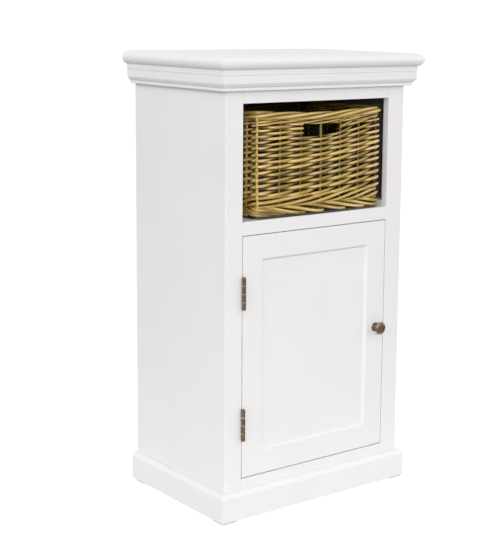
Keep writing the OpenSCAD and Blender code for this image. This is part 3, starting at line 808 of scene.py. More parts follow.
@dataclass
class FaceFrame(SubAssembly):
    """Stiles and rails round the bay and the door.

    Attributes:
        frame_t: The frame's thickness.
        open_x: Half the opening's width.
        ease: The easing of the frame's edges.
        wide_slit: The slit from which a rail's edges are eased by the slit itself.
        joints: The rails, each with the slit left at its ends, where the joint shows as a line.
    """

    frame_t: float = 15.0
    open_x: float = 180.7
    ease: float = 0.9
    wide_slit: float = 0.3
    joints: ClassVar[dict[str, float]] = {"top": 0.35, "middle": 0.15, "bottom": 0.15}

    def build(self) -> None:
        """Builds the stiles and the rails."""
        back = (Y, self.frame_t)
        for side in ("left", "right"):
            self.softened(f"frame_stile_{side}", PAINT_UPRIGHT, self.ease, [back])
        for place, slit in self.joints.items():
            self.rail(place, slit, back)

    def rail(self, place: str, slit: float, back: Plane) -> None:
        """Builds a rail that stops a slit short of the stiles.

        Args:
            place: Which rail it is.
            slit: The slit at each end.
            back: The plane of its back, as axis and place.
        """
        node = f"frame_rail_{place}"
        shape = Shape.from_node(self.tower.nodes[node])
        for side in (LEFT, RIGHT):
            end = [v for v in shape.bm.verts if abs(v.co.x - side * self.open_x) < BOX_TOLERANCE]
            shape.move(end, (-side * slit, 0, 0))
        shape.soften(2 * slit if slit > self.wide_slit else self.ease / 2, [back])
        self.add(shape, f"{node}_eased", PAINT_ACROSS, [node])


# ---- Mouldings ----


@dataclass
class Mouldings(SubAssembly):
    """The lengths that run round the front and the sides.

    Attributes:
        body_x: Half the carcass's width.
        body_d: The carcass's depth.
        mitre_ease: The easing of the mitred corners.
        clear: How far from the carcass the easing starts.
    """

    body_x: float = 220.5
    body_d: float = 308.5
    mitre_ease: float = 1.3
    clear: float = 0.5

    def stations(self) -> list[Matrix]:
        """Returns the outline at the left back end, both mitres and the right back end."""
        corners = ((LEFT, self.body_d, 0), (LEFT, 0, -1), (RIGHT, 0, -1), (RIGHT, self.body_d, 0))
        up = Vector((0, 0, 1))
        return [
            frame_at(Vector((side * self.body_x, depth, 0)), Vector((side, lean, 0)),
                     Vector((-lean, side, 0)), up)
            for side, depth, lean in corners
        ]

    def run(self, name: str, outline: Profile, nodes: Sequence[str]) -> None:
        """Runs an outline round the front and the sides, and eases its mitred corners.

        Args:
            name: The piece's name.
            outline: (reach, height) points of the moulding's section.
            nodes: The CAD nodes that it stands for.
        """
        shape = Shape()
        shape.sweep(outline, self.stations())
        ends = min(z for _, z in outline), max(z for _, z in outline)

        def on_mitre(vert: Vert) -> bool:
            """Returns whether a vertex lies on a mitre, clear of the carcass."""
            off_line = abs(abs(vert.co.x) - self.body_x + vert.co.y)
            return vert.co.y < -self.clear and off_line < MITRE_TOLERANCE

        corners = [edge for edge in shape.bm.edges
                   if all(on_mitre(v) for v in edge.verts)
                   and not any(all(abs(v.co.z - end) < MITRE_TOLERANCE for v in edge.verts)
                               for end in ends)]
        shape.bevel(corners, self.mitre_ease, 3)
        self.add(shape, name, PAINT_ACROSS, nodes)


@dataclass
class Crown(Mouldings):
    """The stepped moulding under the top board: a foot, a sloping band, a face and a cap.

    Attributes:
        foot_z: The height of its underside.
        top_z: The height of its top.
        cap_out: The cap's reach.
        cap_h: The cap's height.
        face_out: The face's reach.
        slope_h: The height of the sloping band.
        foot_out: The foot's reach.
        foot_h: The foot's height.
        ease: The easing of its edges.
        foot_round: The rounding of the foot's lower edge.
        notch, notch_z: How far the line over the foot is cut in, and its heights over the foot.
        lip: How far the sloping band starts outside the foot.
        slope_end: How far inside and below the face's foot the band's last points lie.
        quirk, quirk_z: How far the line under the cap is cut in, and its distances from the cap.
    """

    foot_z: float = 821.4
    top_z: float = 860.0
    cap_out: float = 19.1
    cap_h: float = 10.2
    face_out: float = 18.2
    slope_h: float = 7.1
    foot_out: float = 11.8
    foot_h: float = 6.2
    ease: float = 0.5
    foot_round: float = 0.8
    notch: float = 1.2
    notch_z: tuple[float, float] = (0.1, 0.5)
    lip: float = 1.0
    slope_end: Profile = ((0.7, 0.9), (0.9, 0.3))
    quirk: float = 0.5
    quirk_z: tuple[float, float] = (0.8, 0.3)

    def build(self) -> None:
        """Builds the crown from its foot up to its cap."""
        step_z = self.foot_z + self.foot_h
        face_z = step_z + self.slope_h
        cap_z = self.top_z - self.cap_h
        e, r = self.ease, self.foot_round
        outline = [
            (0.0, self.foot_z),
            *arc((self.foot_out - r, self.foot_z + r), r, -90, 0, 3),
            *arc((self.foot_out - e, step_z - e), e, 0, 90, 2),
            *[(self.foot_out - self.notch, step_z + z) for z in self.notch_z],
            *arc((self.foot_out + self.lip + e, step_z + self.notch_z[1] + e), e, -135, -90, 1),
            *[(self.face_out - inside, face_z - below) for inside, below in self.slope_end],
            *arc((self.face_out - e, face_z + e), e, -60, 0, 2),
            (self.face_out, cap_z - self.quirk_z[0]),
            (self.face_out - self.quirk, cap_z - self.quirk_z[1]),
            *arc((self.cap_out - e, cap_z + e), e, -90, 0, 2),
            (self.cap_out, self.top_z),
            (0.0, self.top_z),
        ]
        self.run("crown_moulding", outline, ["crown_front", "crown_left", "crown_right"])


@dataclass
class Plinth(Mouldings):
    """The board round the foot, with its rounded top edge.

    Attributes:
        thick: Its thickness.
        foot_z: The height of its underside.
        height: Its height.
        nose: The radius of its top edge.
        ease: The easing of its lower edge.
    """

    thick: float = 13.0
    foot_z: float = 2.5
    height: float = 56.5
    nose: float = 11.5
    ease: float = 0.7

    def build(self) -> None:
        """Builds the plinth."""
        top_z = self.foot_z + self.height
        outline = [
            (0.0, self.foot_z),
            *arc((self.thick - self.ease, self.foot_z + self.ease), self.ease, -90, 0, 2),
            *arc((self.thick - self.nose, top_z - self.nose), self.nose, 0, 90, 9),
            (0.0, top_z),
        ]
        self.run("plinth_moulding", outline, ["plinth_front", "plinth_left", "plinth_right"])


@dataclass
class TopBoard(SubAssembly):
    """The top, with a round nose at the front and the sides.

    Attributes:
        half_w: Half its width.
        front, back: The depth of its front and back edges.
        low, high: The height of its underside and its top.
        nose_share: The nose's radius as a share of half the board's thickness.
        nose_steps: The facets of each half of the nose.
        mitre_ease: The easing of the nose's mitred corners.
        mitre_reach: How far from the mitre's line an edge of the nose may lie.
    """

    half_w: float = 250.0
    front: float = -29.5
    back: float = 308.5
    low: float = 860.0
    high: float = 885.6
    nose_share: float = 0.998
    nose_steps: int = 9
    mitre_ease: float = 1.6
    mitre_reach: float = 0.05

    def build(self) -> None:
        """Builds the board and rounds its front and side edges."""
        shape = Shape()
        shape.block((-self.half_w, self.front, self.low), (self.half_w, self.back, self.high))
        around = [e for e in shape.bm.edges if level(e) and not self.at_back(e)]
        nose = (self.high - self.low) / 2
        shape.bevel(around, nose * self.nose_share, self.nose_steps)
        mitres = [e for e in shape.bm.edges if self.mitred(e)]
        shape.bevel(mitres, self.mitre_ease, 3)
        self.add(shape, "top_board_nosed", PAINT_ACROSS, ["top_board"])

    def at_back(self, edge: Edge) -> bool:
        """Returns whether an edge lies along the back."""
        return all(abs(v.co.y - self.back) < BOX_TOLERANCE for v in edge.verts)

    def mitred(self, edge: Edge) -> bool:
        """Returns whether an edge runs down a front corner, between the flat faces."""
        return not level(edge) and all(
            abs(self.half_w - abs(v.co.x) - (v.co.y - self.front)) < self.mitre_reach
            for v in edge.verts)


# ---- Door ----


@dataclass
class Door(SubAssembly):
    """The framed door. Its sunk panel and the beads round it keep their shape.

    Attributes:
        field_x: Half the width between its stiles.
        field_low, field_high: The height of its lower rail's top and its upper rail's underside.
        ease: The easing of its edges.
    """

    body: ClassVar[Body] = Body.DOOR
    field_x: float = 133.1
    field_low: float = 125.6
    field_high: float = 504.0
    ease: float = 1.2

    def build(self) -> None:
        """Builds the door's stiles and rails, whose edges at the panel stay sharp."""
        ends = [(X, -self.field_x), (X, self.field_x)]
        for side, inner in zip(("left", "right"), ends):
            self.softened(f"door_stile_{side}", PAINT_UPRIGHT, self.ease, [inner])
        for place, inner in (("top", self.field_high), ("bottom", self.field_low)):
            self.softened(f"door_rail_{place}", PAINT_ACROSS, self.ease, [(Z, inner), *ends])


# ---- Metalwork ----


@dataclass
class Screw:
    """A countersunk screw with a cross recess, drawn from its head's face along its shank.

    Attributes:
        head, shank, length: The head's and the shank's radius, and the whole length.
        lip: The height of the head's edge.
        point: The length of its point.
        slot_w: The width of the recess.
        slot_l: The length of each of its arms.
        sink: The recess's depth.
        taper: The share of its width that the recess keeps at its bottom.
    """

    head: float
    shank: float
    length: float
    lip: float = 0.25
    point: float = 1.5
    slot_w: float = 0.9
    slot_l: float = 1.9
    sink: float = 1.1
    taper: float = 0.7

    def shape(self) -> Shape:
        """Returns the screw, with its head's face at height 0 and its shank down."""
        shape = Shape()
        outline = [(self.head, 0.0), (self.head, -self.lip),
                   (self.shank, -(self.head - self.shank) - self.lip),
                   (self.shank, -self.length + self.point), (0.0, -self.length)]
        shape.lathe(outline, (0, 0, 0), (0, 0, 1), 20)
        rim = [e for e in shape.bm.edges if e.is_boundary]
        bmesh.ops.contextual_create(shape.bm, geom=rim)
        for reach in (self.slot_w / 2, self.slot_l):
            for normal in ((1, 0, 0), (0, 1, 0)):
                for side in (RIGHT, LEFT):
                    self.cut(shape, Vector(normal), side * reach)
        cross = [f for f in shape.bm.faces if self.in_recess(f)]
        made = bmesh.ops.extrude_face_region(shape.bm, geom=cross)["geom"]
        floor = [g for g in made if isinstance(g, Vert)]
        bmesh.ops.delete(shape.bm, geom=cross, context="FACES_ONLY")
        shape.move(floor, (0, 0, -self.sink))
        bmesh.ops.scale(shape.bm, vec=(self.taper, self.taper, 1.0), verts=floor)
        return shape

    def cut(self, shape: Shape, normal: Vector, place: float) -> None:
        """Cuts the head's face along a line, without parting it.

        Args:
            shape: The screw.
            normal: The direction across the line.
            place: How far from the middle the line lies.
        """
        top = [f for f in shape.bm.faces if self.on_face(f)]
        parts = {g for f in top for g in (f, *f.edges, *f.verts)}
        bmesh.ops.bisect_plane(shape.bm, geom=list(parts), dist=0.00001, plane_co=normal * place,
                               plane_no=normal)

    def on_face(self, face: Face) -> bool:
        """Returns whether a face is part of the head's flat face."""
        return all(abs(v.co.z) < FACE_TOLERANCE for v in face.verts)

    def in_recess(self, face: Face) -> bool:
        """Returns whether a face of the head lies in the cross."""
        spot = face.calc_center_median()
        short, long = sorted((abs(spot.x), abs(spot.y)))
        return self.on_face(face) and short < self.slot_w / 2 and long < self.slot_l


@dataclass
class HingeHalf(SubAssembly):
    """The leaf, knuckles and screws that one side of both hinges carries.

    Attributes:
        side: -1 on the face frame, 1 on the door.
        axis_x, axis_y: The pins' place.
        levels: The heights of the hinges' lower ends.
        barrel_h: The height of a hinge.
        pitch: The distance from knuckle to knuckle.
        knuckle_h, knuckle_r: The height and the radius of a knuckle.
        pin_r: The radius of their bore.
        leaf_t, leaf_w: The leaves' thickness, and how deep they reach.
        leaf_ease: The easing of the leaves' edges.
        frame_x, door_x: Where the frame's and the door's leaves start.
        neck: How far inside a knuckle's ends its leaf's neck stops.
        neck_y: How far from the pins' line the neck starts, and where in the leaf it ends.
        screw_inset: How far the screws stand from a hinge's ends.
        twist: The turn of the first screw's cross, and how much further each next hinge's and
            each next screw's is turned, in radians.
        chamfer: The chamfer of the knuckles' edges.
        seam_at: Where the seam of a knuckle's roll lies, in degrees round it.
        seam_w: The reach of the seam to either side, in degrees.
        seam_depth: The share of their distance from the pin that the seam's faces keep.
        seam_area: The least area of a face that the seam takes in.
    """

    side: int = LEFT
    axis_x: float = -179.9
    axis_y: float = -4.6
    levels: tuple[float, float] = (155.1, 411.0)
    barrel_h: float = 61.3
    pitch: float = 15.775
    knuckle_h: float = 13.975
    knuckle_r: float = 3.8
    pin_r: float = 1.85
    leaf_t: float = 1.3
    leaf_w: float = 12.0
    leaf_ease: float = 0.35
    frame_x: float = -182.0
    door_x: float = -179.1
    neck: float = 0.15
    neck_y: tuple[float, float] = (1.0, 0.4)
    screw_inset: float = 12.0
    twist: tuple[float, float, float] = (0.5, 0.9, 0.6)
    chamfer: float = 0.45
    seam_at: float = 84.0
    seam_w: float = 17.0
    seam_depth: float = 0.58
    seam_area: float = 4.0

    def turned(self, shape: Shape, outline: Profile) -> None:
        """Spins an outline round the pins' line."""
        shape.lathe(outline, (self.axis_x, self.axis_y, 0), (0, 0, 1))

    def leaf(self, low: float, knuckles: Sequence[int]) -> Shape:
        """Returns a leaf with its knuckles.

        Args:
            low: The height of the hinge's lower end.
            knuckles: Which of the hinge's knuckles belong to it, counted from below.

        Returns:
            The leaf.
        """
        x = self.frame_x if self.side < 0 else self.door_x
        r, c = self.knuckle_r, self.chamfer
        shape = Shape()
        shape.block((x, 0.0, low), (x + self.leaf_t, self.leaf_w, low + self.barrel_h))
        shape.soften(self.leaf_ease)
        for index in knuckles:
            z = low + index * self.pitch
            top = z + self.knuckle_h
            shape.block((x, self.axis_y + self.neck_y[0], z + self.neck),
                        (x + self.leaf_t, self.neck_y[1], top - self.neck))
            outline = [(self.pin_r, z), (r - c, z), (r, z + c), (r, top - c), (r - c, top),
                       (self.pin_r, top), (self.pin_r, z)]
            knuckle = Shape()
            self.turned(knuckle, outline)
            self.seam(knuckle)
            shape.join(knuckle.bm)
            knuckle.bm.free()
        return shape

    def seam(self, knuckle: Shape) -> None:
        """Sinks the seam where the knuckle's roll closes, along its outer skin."""
        found = []
        for face in knuckle.bm.faces:
            spot = face.calc_center_median() - Vector((self.axis_x, self.axis_y, 0))
            skin = spot.xy.length > self.knuckle_r - self.chamfer
            turn = math.degrees(math.atan2(-spot.y, spot.x))
            near = abs(turn - self.seam_at) < self.seam_w
            if skin and near and face.calc_area() > self.seam_area:
                found.append(face)
        made = bmesh.ops.extrude_face_region(knuckle.bm, geom=found)["geom"]
        floor = [g for g in made if isinstance(g, Vert)]
        bmesh.ops.delete(knuckle.bm, geom=found, context="FACES_ONLY")
        bmesh.ops.scale(knuckle.bm, vec=(self.seam_depth, self.seam_depth, 1.0), verts=floor,
                        space=Matrix.Translation((-self.axis_x, -self.axis_y, 0)))

    def build(self) -> None:
        """Builds the leaves and the screws of this half."""
        owner = "frame" if self.side < 0 else "door"
        knuckles = self.own_knuckles(owner)
        for place, low in zip(("lower", "upper"), self.levels):
            node = f"hinge_leaf_{owner}_{place}"
            self.add(self.leaf(low, knuckles), f"hinge_{owner}_{place}", ANTIQUE_BRASS, [node],
                     Fit.TURNED)
        self.screws(owner)

    def own_knuckles(self, owner: str) -> list[int]:
        """Returns which knuckles this half has, from how far its node reaches at each of them."""
        leaf = Shape.from_node(self.tower.nodes[f"hinge_leaf_{owner}_upper"])
        found = []
        for index in range(4):
            middle = self.levels[1] + (index * self.pitch + self.knuckle_h / 2)
            if any(v.co.y < self.axis_y and abs(v.co.z - middle) < self.knuckle_h * 0.6
                   for v in leaf.bm.verts):
                found.append(index)
        return found

    def screws(self, owner: str) -> None:
        """Builds the screws of this half, each turned its own way."""
        face_x = self.frame_x + self.leaf_t if self.side < 0 else self.door_x
        screw = Screw(head=3.2, shank=1.6, length=16.0).shape()
        shape = Shape()
        turn = Matrix.Rotation(math.radians(90.0 * -self.side), 4, "Y")
        for count, low in enumerate(self.levels):
            for order, inset in enumerate((self.screw_inset, self.barrel_h - self.screw_inset)):
                place = Matrix.Translation((face_x, self.leaf_w / 2, low + inset))
                first, by_hinge, by_screw = self.twist
                twist = Matrix.Rotation(first + by_hinge * count + by_screw * order, 4, "Z")
                shape.join(screw.bm, place @ turn @ twist)
        screw.bm.free()
        node = f"hinge_screws_{owner}"
        self.add(shape, f"{node}_cross", ANTIQUE_BRASS, [node], Fit.TURNED)


@dataclass
class FrameHinges(HingeHalf):
    """The face frame's half of the hinges, with the pins and the rings.

    Attributes:
        pin_core: The pins' radius.
        cap_r: The radius of the pins' caps.
        cap_h: The caps' height over the hinge.
        cap_edge: The height of the caps' round lower edge.
        run_gap: The gap under the caps.
        ring_r, ring_t: The rings' radius and thickness.
        knuckle_gap: The gap between the knuckles.
    """

    pin_core: float = 1.8
    cap_r: float = 3.4
    cap_h: float = 2.2
    cap_edge: float = 0.6
    run_gap: float = 0.3
    ring_r: float = 4.3
    ring_t: float = 1.66
    knuckle_gap: float = 1.8

    def build(self) -> None:
        """Builds the leaves, screws, pins and rings."""
        super().build()
        for place, low in zip(("lower", "upper"), self.levels):
            seat = low + self.barrel_h + self.run_gap
            top = seat + self.cap_h - self.run_gap
            edge = self.cap_edge
            dome_z = seat + edge + 0.1
            outline = [(0.0, low), (self.pin_core, low), (self.pin_core, seat),
                       *arc((self.cap_r - edge, seat + edge), edge, -90, 0, 2),
                       *[(self.cap_r * math.cos(a), dome_z + (top - dome_z) * math.sin(a))
                         for a in (0.3, 0.6, 0.9, 1.2)],
                       (0.0, top)]
            shape = Shape()
            self.turned(shape, outline)
            node = f"hinge_pin_{place}"
            self.add(shape, f"{node}_capped", ANTIQUE_BRASS, [node], Fit.TURNED)
        self.rings()

    def rings(self) -> None:
        """Builds the rings between the knuckles, with round edges."""
        shape = Shape()
        half = self.ring_t / 2
        for low in self.levels:
            for index in (1, 2, 3):
                z = low + index * self.pitch - self.knuckle_gap / 2
                self.turned(shape, [
                    (self.pin_r, z - half), *arc((self.ring_r - half, z), half, -90, 90, 6),
                    (self.pin_r, z + half), (self.pin_r, z - half)])
        self.add(shape, "hinge_rings_bright", WORN_BRASS, ["hinge_rings"], Fit.TURNED)


@dataclass
class DoorHinges(HingeHalf):
    """The door's half of the hinges."""

    body: ClassVar[Body] = Body.DOOR
    side: int = RIGHT


@dataclass
class Knob(SubAssembly):
    """The round knob on its rose, turned from the door's face outward.

    Attributes:
        at_x, at_z: Its place on the door.
        rose_r, rose_t: The rose's radius and thickness.
        rose_side: The height of the rose's straight side.
        rose_edge: The rounding of the rose's edge.
        groove: How far from the neck and how high the points of the groove round it lie.
        collar: The width of the collar between that groove and the neck.
        neck_r: The neck's radius.
        neck_l: The length of the neck, from the rose to the head's back.
        neck_foot, neck_rise: How much wider the neck is at its foot, and how high that reaches.
        flare_l: The depth of the head's flaring back.
        head_r: The head's radius.
        head_edge: The half thickness of its thin rim.
        rim_rise: How far the rim stands before the head's back.
        rim_in, rim_out: How far the head's back and the border keep from the rim's middle.
        border_in: How far inside the rim the border starts.
        border_h: The rise of the sloping border.
        dome_r, dome_h: The radius and the height of the dome inside it.
        dome_sink: How far the dome's edge lies below the border.
        bore_r: The radius of the rose's bore.
    """

    body: ClassVar[Body] = Body.DOOR
    at_x: float = 157.1
    at_z: float = 331.0
    rose_r: float = 9.2
    rose_t: float = 2.4
    rose_side: float = 0.9
    rose_edge: float = 1.0
    groove: Profile = ((3.4, 2.0), (2.8, 1.2), (1.9, 1.2))
    collar: float = 1.5
    neck_r: float = 3.9
    neck_l: float = 12.2
    neck_foot: float = 1.6
    neck_rise: float = 1.8
    flare_l: float = 3.6
    head_r: float = 12.9
    head_edge: float = 0.7
    rim_rise: float = 2.4
    rim_in: float = 0.5
    rim_out: float = 0.75
    border_in: float = 0.9
    border_h: float = 1.5
    dome_r: float = 9.4
    dome_h: float = 0.9
    dome_sink: float = 0.35
    bore_r: float = 2.05

    def build(self) -> None:
        """Builds the rose and the knob."""
        origin, out = (self.at_x, 0.0, self.at_z), (0, -1, 0)
        rose = Shape()
        rose.lathe(self.rose_outline(), origin, out, 48)
        self.add(rose, "knob_rose_turned", ANTIQUE_BRASS, ["knob_rose"], Fit.TURNED)
        knob = Shape()
        knob.lathe(self.knob_outline(), origin, out, 56)
        self.add(knob, "knob_turned", ANTIQUE_BRASS, ["knob"], Fit.TURNED)

    def rose_outline(self) -> list[tuple[float, float]]:
        """Returns the rose's outline: its edge, its face with a groove round the neck, its bore."""
        edge = self.rose_edge
        return [
            (self.bore_r, 0.0), (self.rose_r, 0.0), (self.rose_r, self.rose_side),
            *arc((self.rose_r - edge, edge), edge, 0, 90, 4),
            *[(self.neck_r + out, z) for out, z in self.groove],
            (self.neck_r + self.collar, self.rose_t), (self.bore_r, self.rose_t),
            (self.bore_r, 0.0),
        ]

    def knob_outline(self) -> list[tuple[float, float]]:
        """Returns the knob's outline: foot, neck, flaring back, thin rim, sloping border, dome."""
        rim = self.rose_t + self.neck_l + self.rim_rise
        inner_r = self.head_r - self.border_in
        border_z = rim + self.rim_out
        dome_z = border_z + self.border_h - self.dome_sink
        waist = [(self.neck_r + self.neck_foot * (1 - smooth(t / 4)),
                  self.rose_t + self.neck_rise * t / 4) for t in range(5)]
        flare = [(self.neck_r + (inner_r - self.neck_r) * (1 - math.cos(a)),
                  rim - self.rim_in - self.flare_l * (1 - math.sin(a)))
                 for a in [math.radians(90 * i / 9) for i in range(9)]]
        border = [(inner_r - (inner_r - self.dome_r) * i / 6,
                   border_z + self.border_h * math.sin(math.radians(90 * i / 6)))
                  for i in range(7)]
        dome = [(self.dome_r * math.cos(a), dome_z + self.dome_h * math.sin(a))
                for a in [math.radians(90 * i / 8) for i in range(1, 8)]]
        return [
            (0.0, self.rose_t), *waist, *flare,
            *arc((self.head_r - self.head_edge, rim), self.head_edge, -80, 80, 5), *border,
            (self.dome_r + 0.1, dome_z - 0.1), *dome, (0.0, dome_z + self.dome_h),
        ]


@dataclass
class BackScrews(SubAssembly):
    """The screws that hold the back panel, one wherever the node has a head.

    Attributes:
        head, shank, length: The heads' and the shanks' radius, and the screws' length.
    """

    head: float = 3.4
    shank: float = 1.6
    length: float = 14.0

    def build(self) -> None:
        """Builds the screws, pressed to the depth of the node's."""
        node = Shape.from_node(self.tower.nodes["back_screws"])
        low, high = node.extent()
        heads = self.centres(node, high.y)
        node.bm.free()
        screw = Screw(head=self.head, shank=self.shank, length=self.length).shape()
        sink = Matrix.Scale(min(1.0, (high.y - low.y) / self.length), 4, (0, 0, 1))
        turn = Matrix.Rotation(math.radians(-90.0), 4, "X") @ sink
        shape = Shape()
        for x, z in heads:
            shape.join(screw.bm, Matrix.Translation((x, high.y, z)) @ turn)
        screw.bm.free()
        self.add(shape, "back_screws_cross", ZINC, ["back_screws"], Fit.TURNED)

    def centres(self, node: Shape, face: float) -> list[tuple[float, float]]:
        """Returns the middle of each screw head.

        Args:
            node: The node's shape.
            face: The depth of the back's outer face.

        Returns:
            The (x, z) middles, in order.
        """
        found = []
        for flat in node.bm.faces:
            if all(abs(v.co.y - face) < BOX_TOLERANCE for v in flat.verts):
                middle = flat.calc_center_bounds()
                found.append((middle.x, middle.z))
        return sorted(found)


# ---- Basket ----


@dataclass
class Rod:
    """One willow rod, as the points it passes and its radius at each.

    Attributes:
        points: The points, from its butt to its tip.
        radii: The radius at each point.
        tone: Its own tone, from 0 to 1.
        open: The way that each point faces out; skin turned from it is painted dark as painted
            shade.
        tuck_shade: How dark each point is painted, as painted shade, from 0 to 1.
        painted_sheen: How strong the painted highlight is at each point, from 0 to 1.
        up: The direction that its section stays turned to.
        sides: The sides of its section.
    """

    points: list[Vector]
    radii: list[float]
    tone: float
    open: list[Vector] = field(default_factory=list)
    tuck_shade: list[float] = field(default_factory=list)
    painted_sheen: list[float] = field(default_factory=list)
    up: Vector = field(default_factory=lambda: Vector((0, 0, 1)))
    sides: int = 8

    def wear(self, index: int, place: Vector) -> tuple[float, float]:
        """Returns the painted shade and the painted highlight at a place on the rod's skin.

        Args:
            index: Which of the rod's points the place is near.
            place: The place.

        Returns:
            How dark its painted shade and how strong its painted highlight are, both from 0 to 1.
        """
        deep = self.tuck_shade[index] if self.tuck_shade else 0.0
        painted_sheen = self.painted_sheen[index] if self.painted_sheen else 0.0
        if not self.open:
            return deep, painted_sheen
        facing = (place - self.points[index]).normalized().dot(self.open[index])
        # Painted shade on skin turned away; the painted highlight only on skin turned out.
        behind = smooth((0.5 - facing) / 0.95)
        return min(1.0, deep + 0.95 * behind), painted_sheen * smooth((facing - 0.45) / 0.5)

    def stations(self) -> list[Matrix]:
        """Returns the rod's section at each of its points."""
        made = []
        last = len(self.points) - 1
        for i, (point, radius) in enumerate(zip(self.points, self.radii)):
            along = (self.points[min(i + 1, last)] - self.points[max(i - 1, 0)]).normalized()
            across = along.cross(self.up).normalized()
            made.append(frame_at(point, across * radius, across.cross(along) * radius, along))
        return made


class Bundle(Shape):
    """Many rods in one mesh, each with its own bark and tone."""

    def __init__(self, seed: int) -> None:
        """Starts an empty bundle whose rods draw their bark from a seed."""
        super().__init__()
        self.random = random.Random(seed)
        self.layers(self.bm)

    @staticmethod
    def layers(bm: bmesh.types.BMesh) -> tuple[bmesh.types.BMLayerItem, ...]:
        """Adds a mesh's layers of rod, tone, painted shade and painted highlight, and returns them.
        """
        bm.verts.layers.float_vector.new("rod")
        for name in ("tone", "tuck_shade", "painted_sheen"):
            bm.verts.layers.float.new(name)
        values = bm.verts.layers.float
        return bm.verts.layers.float_vector["rod"], values["tone"], values["tuck_shade"], values["painted_sheen"]

    def lay(self, rod: Rod) -> None:
        """Adds a rod: a circle extruded through its stations.

        Args:
            rod: The rod.
        """
        bm = bmesh.new()
        bark, tone, tuck_shade, painted_sheen = self.layers(bm)
        ring = bmesh.ops.create_circle(bm, cap_ends=True, radius=1.0, segments=rod.sides)["verts"]
        shift = Vector([self.random.uniform(-1.0, 1.0) for _ in range(3)])
        radius = rod.radii[0] * MM
        for vert in ring:
            vert[bark] = shift + Vector((vert.co.x * radius, vert.co.y * radius, 0.0))
            vert[tone] = rod.tone
        stations = rod.stations()
        bmesh.ops.transform(bm, matrix=stations[0], verts=ring)
        for vert in ring:
            vert[tuck_shade], vert[painted_sheen] = rod.wear(0, vert.co)
        edges = list(bm.edges)
        for i in range(1, len(stations)):
            made = bmesh.ops.extrude_edge_only(bm, edges=edges)["geom"]
            ring = [g for g in made if isinstance(g, Vert)]
            edges = [g for g in made if isinstance(g, Edge) and g.is_boundary]
            bmesh.ops.transform(bm, matrix=stations[i] @ stations[i - 1].inverted(), verts=ring)
            step = Vector((0.0, 0.0, (rod.points[i] - rod.points[i - 1]).length * MM))
            for vert in ring:
                vert[bark] = vert[bark] + step
                vert[tuck_shade], vert[painted_sheen] = rod.wear(i, vert.co)
        bmesh.ops.contextual_create(bm, geom=edges)
        self.join(bm)
        bm.free()


@dataclass(frozen=True)
class Stake:
    """An upright rod from the floor to the rim.

    Attributes:
        out: How far out of the walls' middle it stands.
        radius: Its radius.
        deep: How dark it is painted, as painted shade.
        tone: Its tone, or None for one drawn among the darker ones.
        bead: How far it swells between the rows that nip it.
    """

    out: float = -0.4
    radius: float = 2.4
    deep: float = 0.5
    tone: float | None = None
    bead: float = 0.0


@dataclass(frozen=True)
class Band:
    """A band of strands twisted round the basket.

    Attributes:
        z: The height of its middle.
        out: How far out its middle lies.
        strands: The number of strands.
        reach: The twist's reach outwards and upwards.
        radius: The strands' radius.
        turns: The turns of the twist in the whole round.
        sagging: The share of the rim's sag that it follows.
        late: How late along each wall it twists: 1 for evenly, more for towards its end.
    """

    z: float
    out: float
    strands: int
    reach: tuple[float, float]
    radius: float
    turns: int
    sagging: float = 0.0
    late: float = 1.0


@dataclass(frozen=True)
class Wall:
    """One side of the basket in plan, from the middle of one corner to the next.

    Attributes:
        name: The side's name.
        corner: The plan's corner that it starts from.
        along: Its direction, left to right from outside.
        width: The plan's width on this side.
        gaps: The gaps between its stakes.
        steps: The points of a row's rod from stake to stake.
        seed: The seed of its rods' bark.
        bulge: How far its middle swells.
        sag: How far the rim's middle sinks.
        posts: Whether a post stands outside the weaving at its start and at its end.
        stake: Its stakes.
        middle: The stake at its middle, or None where that is like the others.
        holes: Whether the handle holes are in it.
        painted_lift: The least tone of its rows, raised as painted light where the wall lies in
            shade.
        shade: How dark its rows are painted, as painted shade, where they pass behind a stake.
        sheen_floor: The least painted highlight on its rows wherever they pass in front of a stake.
    """

    name: str
    corner: Vector
    along: Vector
    width: float
    gaps: int
    steps: int
    seed: int
    bulge: float
    sag: float
    posts: tuple[bool, bool]
    stake: Stake = Stake()
    middle: Stake | None = None
    holes: bool = False
    painted_lift: float = 0.0
    shade: float = 0.8
    sheen_floor: float = 0.0

    def outward(self) -> Vector:
        """Returns the direction out of the basket."""
        return Vector((self.along.y, -self.along.x, 0.0))


